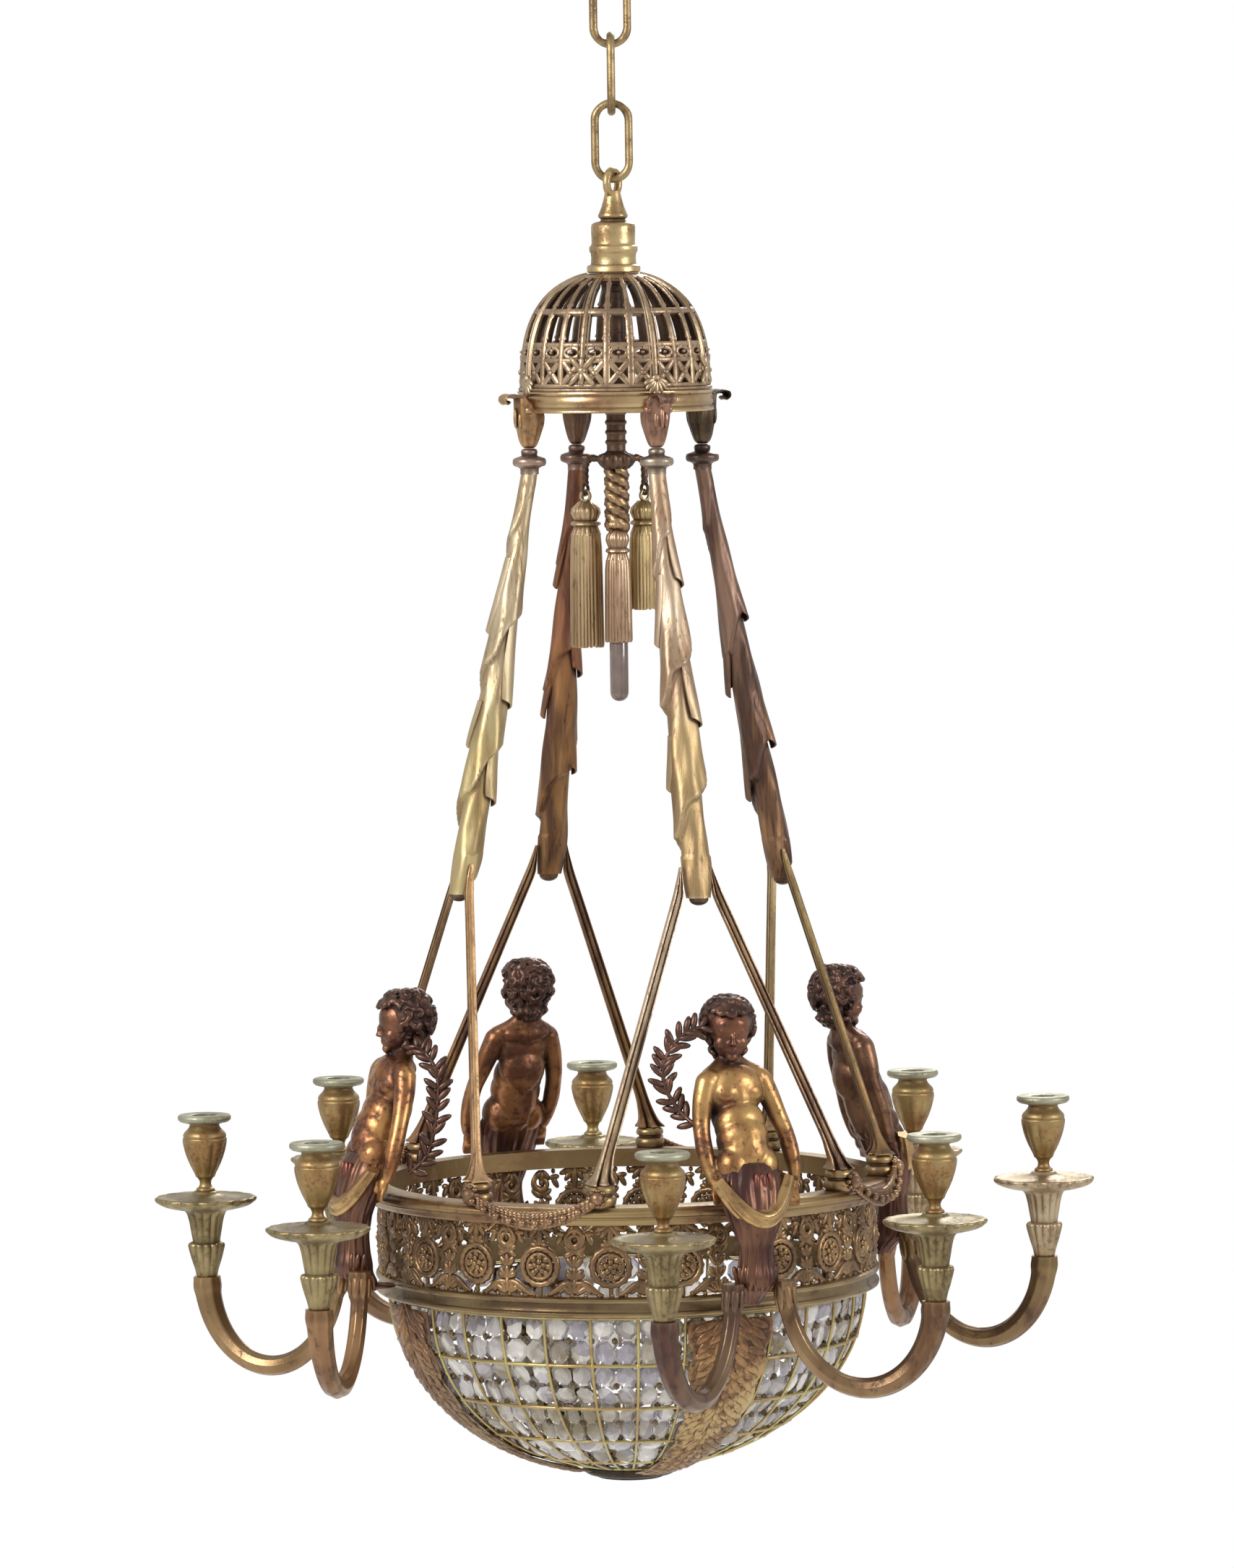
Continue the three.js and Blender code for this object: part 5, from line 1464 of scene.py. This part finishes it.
olive_gilt = gilding("olive_gilt", (0.33, 0.26, 0.13), (0.20, 0.15, 0.07), (0.06, 0.038, 0.017),
    patch=34, roughness=0.44)
cream_gilt = gilding("cream_gilt", (0.48, 0.38, 0.25), (0.32, 0.23, 0.13), (0.10, 0.06, 0.03),
    patch=30, roughness=0.44)
urn_gilt = gilding("urn_gilt", (0.36, 0.26, 0.115), (0.29, 0.165, 0.065), (0.085, 0.046, 0.018),
    patch=42, roughness=0.44)
pale_gilt = gilding("pale_rim_gilt", (0.36, 0.35, 0.26), (0.24, 0.225, 0.15), (0.10, 0.08, 0.05),
    patch=40, roughness=0.5, age=0.3)
dish_mesh, urn_mesh, disc_mesh = drip_pan(), urn_nozzle(), nozzle_rim()
for side, turn in quarters:
    for letter, hand in (("a", -1), ("b", 1)):
        name = side + "_" + letter
        horn_gilt = gilding("arm_gilt_" + name, *arm_shading_tones[name], (0.035, 0.018, 0.01), patch=16,
            streak=2)
        placed(arm_meshes[letter], horn_gilt, "candle_arm_" + name,
            "candle_horn_" + name, turn)
        spin = Matrix.Rotation(hand * nozzle_turn, 4, "Z")
        place = turn @ Matrix.Translation(aside(nozzle_reach, hand * nozzle_turn, 0)) @ spin
        # The right quarter's pans take the paler cream copy of the dish gilt: painted light.
        dish_finish = cream_gilt if side == "right" else olive_gilt
        placed(dish_mesh, dish_finish, "drip_pan_" + name, "drip_dish_" + name, place)
        placed(urn_mesh, urn_gilt, "nozzle_" + name, "urn_cup_" + name, place)
        placed(disc_mesh, pale_gilt, "nozzle_" + name, "nozzle_disc_" + name, place)


# Frieze: a moulded band with twenty pierced rosettes between scrolls, cast in lengths and
# screwed up under the upper hoop. Dark in the hollows with patina and painted shade, and
# bright on the petals with worn gilt and a painted highlight.
rosette_pitch = radians(16.4)
frieze_reach = 213


def on_frieze(angle, height, proud=0.0):
    return aside(frieze_reach + proud, angle, lower_top + height)


def frieze_wire(bm, path, radius, count=8):
    """A round-backed scroll on the frieze through (angle, height, proud) points."""
    rings = []
    for i, (angle, height, proud) in enumerate(path):
        here = on_frieze(angle, height, proud)
        before, after = neighbours(path, i)
        along = (on_frieze(*after) - on_frieze(*before)).normalized()
        out = level_out(angle)
        side = along.cross(out).normalized()
        size = radius * (0.55 + 0.45 * sin(pi * i / (len(path) - 1)))
        rings.append(oval(here, side * size * mm, out * size * 0.9 * mm, count))
    swept(bm, rings)


def lower_band():
    bm = bmesh.new()
    section = [(208, 0), (214, 0), (215.4, -0.6), (217.6, -2), (218, -3.8), (217.3, -5.4),
               (215.6, -6), (215.2, -7), (215.6, -12), (216.2, -13), (217.6, -14), (218, -15.6),
               (217.4, -17.2), (216, -18), (208, -18)]
    turned(bm, section, lower_top, 160, closed=True)
    return shaped(bm, "lower_band", 40)


def frieze_leaf(bm, angle, height, lean, length, width):
    """A leaf that grows from a point of the frieze, leaning by degrees from upright."""
    lie = lying(level_out(angle + pi / 2), upright, level_out(angle))
    spin = lie @ Matrix.Rotation(radians(-lean), 4, "Z")
    blob(bm, on_frieze(angle, height, 0.3) + spin @ Vector((0, length * mm, 0)), (width, length, 2),
        spin)


def frieze_quarter():
    bm = bmesh.new()
    rise = 25
    for i in range(5):
        middle = pi / 4 + (i - 2) * rosette_pitch
        out, sideways = level_out(middle), level_out(middle + pi / 2)
        lie = lying(sideways, upright, out)
        for radius, wire, proud in ((15.4, 3, 0.2), (10.6, 1.8, 1.2)):
            rings = []
            for angle in circle(32):
                away = sideways * cos(angle) + upright * sin(angle)
                bead = 1 + 0.18 * cos(16 * angle) * (radius > 12)
                centre = on_frieze(middle, rise, proud) + away * radius * mm
                rings.append(oval(centre, away * wire * bead * mm, out * wire * bead * mm, 8))
            swept(bm, rings, endless=True)
        for petals, reach, length, width, lift in ((8, 8, 4.6, 3, 1.2), (5, 4, 3, 2.5, 2.6)):
            for j in range(petals):
                spin = lie @ Matrix.Rotation(j / petals * 2 * pi, 4, "Z")
                centre = on_frieze(middle, rise, lift) + spin @ Vector((0, reach * mm, 0))
                blob(bm, centre, (width, length, 1.9), spin)
        blob(bm, on_frieze(middle, rise, 3.2), (2.8,) * 3)
        frieze_wire(bm, [(middle, -2, 0), (middle, 8, 0)], 3.4)
        frieze_wire(bm, [(middle, 41, 0), (middle, 50, 0), (middle, 61, 0)], 3.6)
        for lean in (-68, -36, 0, 36, 68):
            frieze_leaf(bm, middle, 61, 180 + lean, 7.4, 3)
            frieze_leaf(bm, middle, 42, lean * 1.15, 4.6, 2.7)
        for hand in (-1, 1):
            scroll = []
            for n in range(22):
                s = n / 21
                turn = (0.5 + 2.1 * s) * pi
                coil = 8.4 * (1 - 0.62 * s)
                scroll.append((middle + hand * (rosette_pitch / 2
                    - coil * cos(turn) / frieze_reach), 48 + coil * sin(turn), 0.6))
            frieze_wire(bm, scroll, 3.3)
            tendril = [(middle + hand * rosette_pitch * (0.10 + 0.40 * s),
                       1 + 10.5 * sin(s * pi * 0.62) ** 2, 0.4)
                       for s in (0, 0.15, 0.3, 0.45, 0.6, 0.75, 0.9, 1)]
            frieze_wire(bm, tendril, 3)
            blob(bm, on_frieze(middle + hand * rosette_pitch * 0.5, 48.4, 0.6), (3.4, 2.2, 3.4),
                None, 1)
            for share, height, lean, length in ((0.26, 2, 40, 5.6), (0.24, 43, 28, 6.4),
                    (0.34, 33, 62, 5), (0.36, 19, 118, 4.6), (0.30, 9, 74, 4.6),
                    (0.22, 54, 100, 5)):
                frieze_leaf(bm, middle + hand * rosette_pitch * share, height, hand * lean, length,
                    2.8)
    for i in range(6):
        between = pi / 4 + (i - 2.5) * rosette_pitch
        for height, length, leans in ((1, 6.6, (-56, -30, 0, 30, 56)), (13, 5.6, (-34, 0, 34)),
                (24, 5, (-38, 0, 38)), (35, 5.4, (-50, -18, 18, 50)), (60, 5.4, (140, 180, 220))):
            for lean in leans:
                frieze_leaf(bm, between, height, lean, length * 1.15, 2.9)
    for i in range(26):
        angle = pi / 4 + (i - 12.5) * rosette_pitch / 5.4
        blob(bm, on_frieze(angle, 0.8, 0.8), (2.7, 1.9, 2.5), fineness=1)
        blob(bm, on_frieze(angle, 58.6, 0.4), (2.9, 2, 2.8), fineness=1)
    return shaped(bm, "rosette_row", 60)


band_gilt = gilding("band_gilt", (0.34, 0.25, 0.13), (0.13, 0.08, 0.036), (0.045, 0.022, 0.01),
    patch=9, roughness=0.3)
frieze_gilt = gilding("frieze_gilt", (0.30, 0.185, 0.09), (0.085, 0.045, 0.024),
    (0.012, 0.006, 0.004), patch=26, age=0.9)
placed(lower_band(), band_gilt, "rosette_frieze")
row_mesh = frieze_quarter()
for side, turn in quarters:
    placed(row_mesh, frieze_gilt, "rosette_frieze", "rosette_row_" + side, turn)


# Leaf ribs: four long acanthus leaves that clamp the cage under the figures and narrow to
# the cap. Veined, lobed along the edge and gilt, with brown patina and painted shade in the
# veins.
bowl_top = lower_base - 0.3
bowl_radius, bowl_depth, cap_radius = 214, 165, 41.5
cap_share = acos(cap_radius / bowl_radius) / (pi / 2)


def on_bowl(share, angle, inset=0.0):
    slope = share * pi / 2
    return aside((bowl_radius - inset) * cos(slope), angle,
        bowl_top - (bowl_depth - inset) * sin(slope))


def bowl_lie(share, angle):
    """The turn that lays a lump flat on the bowl, with its Z outward."""
    out = (on_bowl(share, angle) - on_bowl(share, angle, 5)).normalized()
    side = level_out(angle + pi / 2)
    return lying(side, out.cross(side), out)


def rib_width(s):
    """Share down the bowl, half width and distance from the axis at a share of a leaf."""
    share = 0.02 + (cap_share - 0.04) * s
    return share, 42 - 25 * s, bowl_radius * cos(share * pi / 2)


def leaf_rib():
    bm = bmesh.new()
    steps, across = 120, 36
    rings = []
    for i in range(steps + 1):
        s = i / steps
        share, half, reach = rib_width(s)
        lobe = abs(sin(s * pi * 6.5 + 0.3)) ** 0.6
        width = half * (0.84 + 0.16 * lobe)
        upper, lower = [], []
        for j in range(across + 1):
            u = j / across * 2 - 1
            lift = 2.1 * (1 - 0.35 * u * u) + 0.5 * sin(s * 60 + u * 9) * sin(u * 23 + s * 31)
            lift = max(0.6, lift) * (1 if abs(u) < 0.97 else 0.7)
            upper.append(on_bowl(share, u * width / reach, 5 - lift))
            lower.append(on_bowl(share, u * width / reach, 5 if 0 < j < across else 4.8))
        rings.append(upper + lower[::-1])
    swept(bm, rings)
    for i in range(26):
        share, half, reach = rib_width((i + 0.6) / 26.5)
        for hand in (-1, 1):
            for row, (u, tilt, length, thick) in enumerate(((0.30, 42, 0.25, 2.1),
                    (0.66, 56, 0.24, 1.9))):
                angle = hand * u * half * 0.9 / reach
                lean = radians(hand * (tilt + 16 * sin(i * 2.3 + row)))
                size = (2.2 + 0.05 * half, length * half + 1.5, thick)
                lie = bowl_lie(share, angle) @ Matrix.Rotation(lean, 4, "Z")
                blob(bm, on_bowl(share, angle, 3.3 + 0.4 * row), size, lie)
        blob(bm, on_bowl(share, 0, 3.4), (2.8, 5.2, 2.4), bowl_lie(share, 0))
    return shaped(bm, "acanthus_rib", 50)


# Each side's leaf takes its own lower tones, lighter or darker: painted light and shade over the
# gilt.
leaf_shading_tones = {"front": ((0.48, 0.36, 0.17), (0.27, 0.175, 0.075)),
    "right": ((0.32, 0.22, 0.11), (0.16, 0.095, 0.05)),
    "back": ((0.28, 0.19, 0.10), (0.14, 0.085, 0.045)),
    "left": ((0.19, 0.15, 0.09), (0.085, 0.062, 0.038))}
rib_mesh = leaf_rib()
for side, turn in quarters:
    leaf_gilt = gilding("leaf_gilt_" + side, (0.32, 0.17, 0.075), (0.12, 0.058, 0.034),
                        (0.016, 0.008, 0.006), patch=20, age=1.1, depth=8,
                        below=((bowl_top - 60) * mm, 70 * mm, *leaf_shading_tones[side]))
    placed(rib_mesh, leaf_gilt, "leaf_rib_" + side, "acanthus_rib_" + side, turn)


# Cage: hoops and uprights of drawn wire in a basket, tied at each crossing with a bead.
# It hangs from the lower band and carries the crystal drops inside it.
cage_inset, cage_wire = 6.3, 3.0
cage_uprights, cage_rows = 32, 5


def bowl_cage():
    bm = bmesh.new()
    wire = cage_wire / 2
    for angle in circle(cage_uprights):
        side = level_out(angle + pi / 2)
        rings = []
        for i in range(31):
            share = cap_share * i / 30
            here = on_bowl(share, angle, cage_inset + wire)
            out = (here - on_bowl(share, angle, cage_inset + wire + 1)).normalized()
            thick = wire * (1 - 0.3 * i / 30) * mm
            rings.append(oval(here, side * thick, out * thick, 8))
        swept(bm, rings)
        for i in range(cage_rows + 1):
            blob(bm, on_bowl(cap_share * i / cage_rows, angle, cage_inset + wire),
                (2.5 - 0.12 * i,) * 3, fineness=1)
    for i in range(cage_rows + 1):
        share = cap_share * min(max(i / cage_rows, 0.006), 0.994)
        centre = on_bowl(share, 0, cage_inset + wire) / mm
        hoop = [(-centre.y + wire * cos(angle), centre.z + wire * sin(angle))
            for angle in circle(10)]
        turned(bm, hoop, 0, 128, closed=True)
    return shaped(bm, "bowl_cage_wires", 60)


wire_gilt = gilding("wire_gilt", (0.42, 0.36, 0.15), (0.34, 0.20, 0.08), (0.08, 0.05, 0.022),
    patch=12, roughness=0.33)
placed(bowl_cage(), wire_gilt, "bowl_cage")


# Crystal lining: faceted drops of cut glass wired side by side inside the cage, two by two
# in each opening of the cage and held by small bronze clips where four drops meet.
def crystal_lining():
    cut = bmesh.new()
    bmesh.ops.create_uvsphere(cut, u_segments=8, v_segments=4, radius=1,
        matrix=Matrix.Rotation(pi / 8, 4, "Z"))
    drop = bpy.data.meshes.new("cut_drop")
    cut.to_mesh(drop)
    cut.free()
    bm = bmesh.new()
    inset = cage_inset + cage_wire + 0.3 + 2.6
    for row in range(2 * cage_rows):
        upper_share = cap_share * row / (2 * cage_rows)
        lower_share = cap_share * (row + 1) / (2 * cage_rows)
        share = (lower_share + upper_share) / 2
        tall = (on_bowl(lower_share, 0, inset) - on_bowl(upper_share, 0, inset)).length
        count = cage_uprights * (2 if row < 6 else 1)
        for k in range(count):
            angle = (k + 0.5) / count * 2 * pi
            here = on_bowl(share, angle, inset)
            wide = hypot(here.x, here.y) * 2 * pi / count
            nod = Matrix.Rotation(0.3 * sin(k * 12.9 + row * 4.7), 4, "X")
            roll = Matrix.Rotation(0.3 * sin(k * 7.3 + row * 9.1), 4, "Y")
            size = Matrix.Diagonal((wide * 0.5, tall * 0.5, 2.5 * mm, 1))
            facets = drop.copy()
            facets.transform(Matrix.Translation(here) @ bowl_lie(share, angle) @ nod @ roll @ size)
            bm.from_mesh(facets)
            bpy.data.meshes.remove(facets)
    mesh = bpy.data.meshes.new("crystal_lining")
    bmesh.ops.recalc_face_normals(bm, faces=bm.faces)
    bm.to_mesh(mesh)
    bm.free()
    return mesh


def crystal_clips():
    """Small bronze clips that hold the drops where four of them meet."""
    bm = bmesh.new()
    for row in range(2 * cage_rows + 1):
        for angle in circle(cage_uprights * (2 if row < 7 else 1)):
            spot = on_bowl(cap_share * row / (2 * cage_rows), angle, cage_inset + cage_wire + 2.4)
            blob(bm, spot, (3, 3, 3.2), fineness=1)
    return shaped(bm, "crystal_clips", 40)


crystal_sheet = Sheet(bpy.data.materials.new("cut_crystal"))
crystal_place = crystal_sheet.node("ShaderNodeTexCoord", out=3)
# Cells run from near white, a painted sparkle, to lavender grey.
cell = crystal_sheet.node("ShaderNodeTexVoronoi", None, {"Vector": crystal_place, "Scale": 48.0},
    out=1)
cell_share = crystal_sheet.node("ShaderNodeSeparateColor", None, {"Color": cell})
brown_gap_shade = crystal_sheet.noise(crystal_place, 24.0, 3.0)
crystal_colour_and_glints = crystal_sheet.mixed(((cell_share - 0.3) * 2.2).held(), (1.0, 0.97, 0.93),
    (0.50, 0.47, 0.53))
# Noise patches lay painted brown shade from the gaps between the drops.
crystal_colour_and_glints = crystal_sheet.mixed(((brown_gap_shade - 0.46) * 5).held(), crystal_colour_and_glints, (0.36, 0.29, 0.16))
cut_crystal = crystal_sheet.finished({"Base Color": crystal_colour_and_glints, "Roughness": 0.06, "IOR": 1.56,
    "Transmission Weight": 0.6, "Coat Weight": 0.4})
placed(crystal_lining(), cut_crystal, "crystal_bowl")
clip_bronze = gilding("clip_bronze", (0.20, 0.15, 0.08), (0.09, 0.06, 0.035), (0.02, 0.012, 0.008),
    patch=30)
placed(crystal_clips(), clip_bronze, "bowl_cage")


# Cap: a thin dark bronze plate with a turned edge that closes the cage below and holds
# the four leaves by its screw.
def bottom_cap():
    low, high = span("bottom_cap")
    profile = [(0, low), (24, low), (28.6, low + 0.6), (29.4, low + 2), (31.5, low + 2.4),
               (36.8, low + 3.4), (39.4, low + 5), (40.2, low + 6.4), (41.3, low + 6.8),
               (41.5, low + 8), (41.5, high - 0.4), (41.1, high), (0, high)]
    bm = bmesh.new()
    turned(bm, profile, 0, 96)
    return shaped(bm, "bottom_cap_plate", 40)


cap_bronze = gilding("cap_bronze", (0.06, 0.042, 0.03), (0.022, 0.015, 0.011),
    (0.008, 0.005, 0.004), patch=40, roughness=0.5)
placed(bottom_cap(), cap_bronze, "bottom_cap")
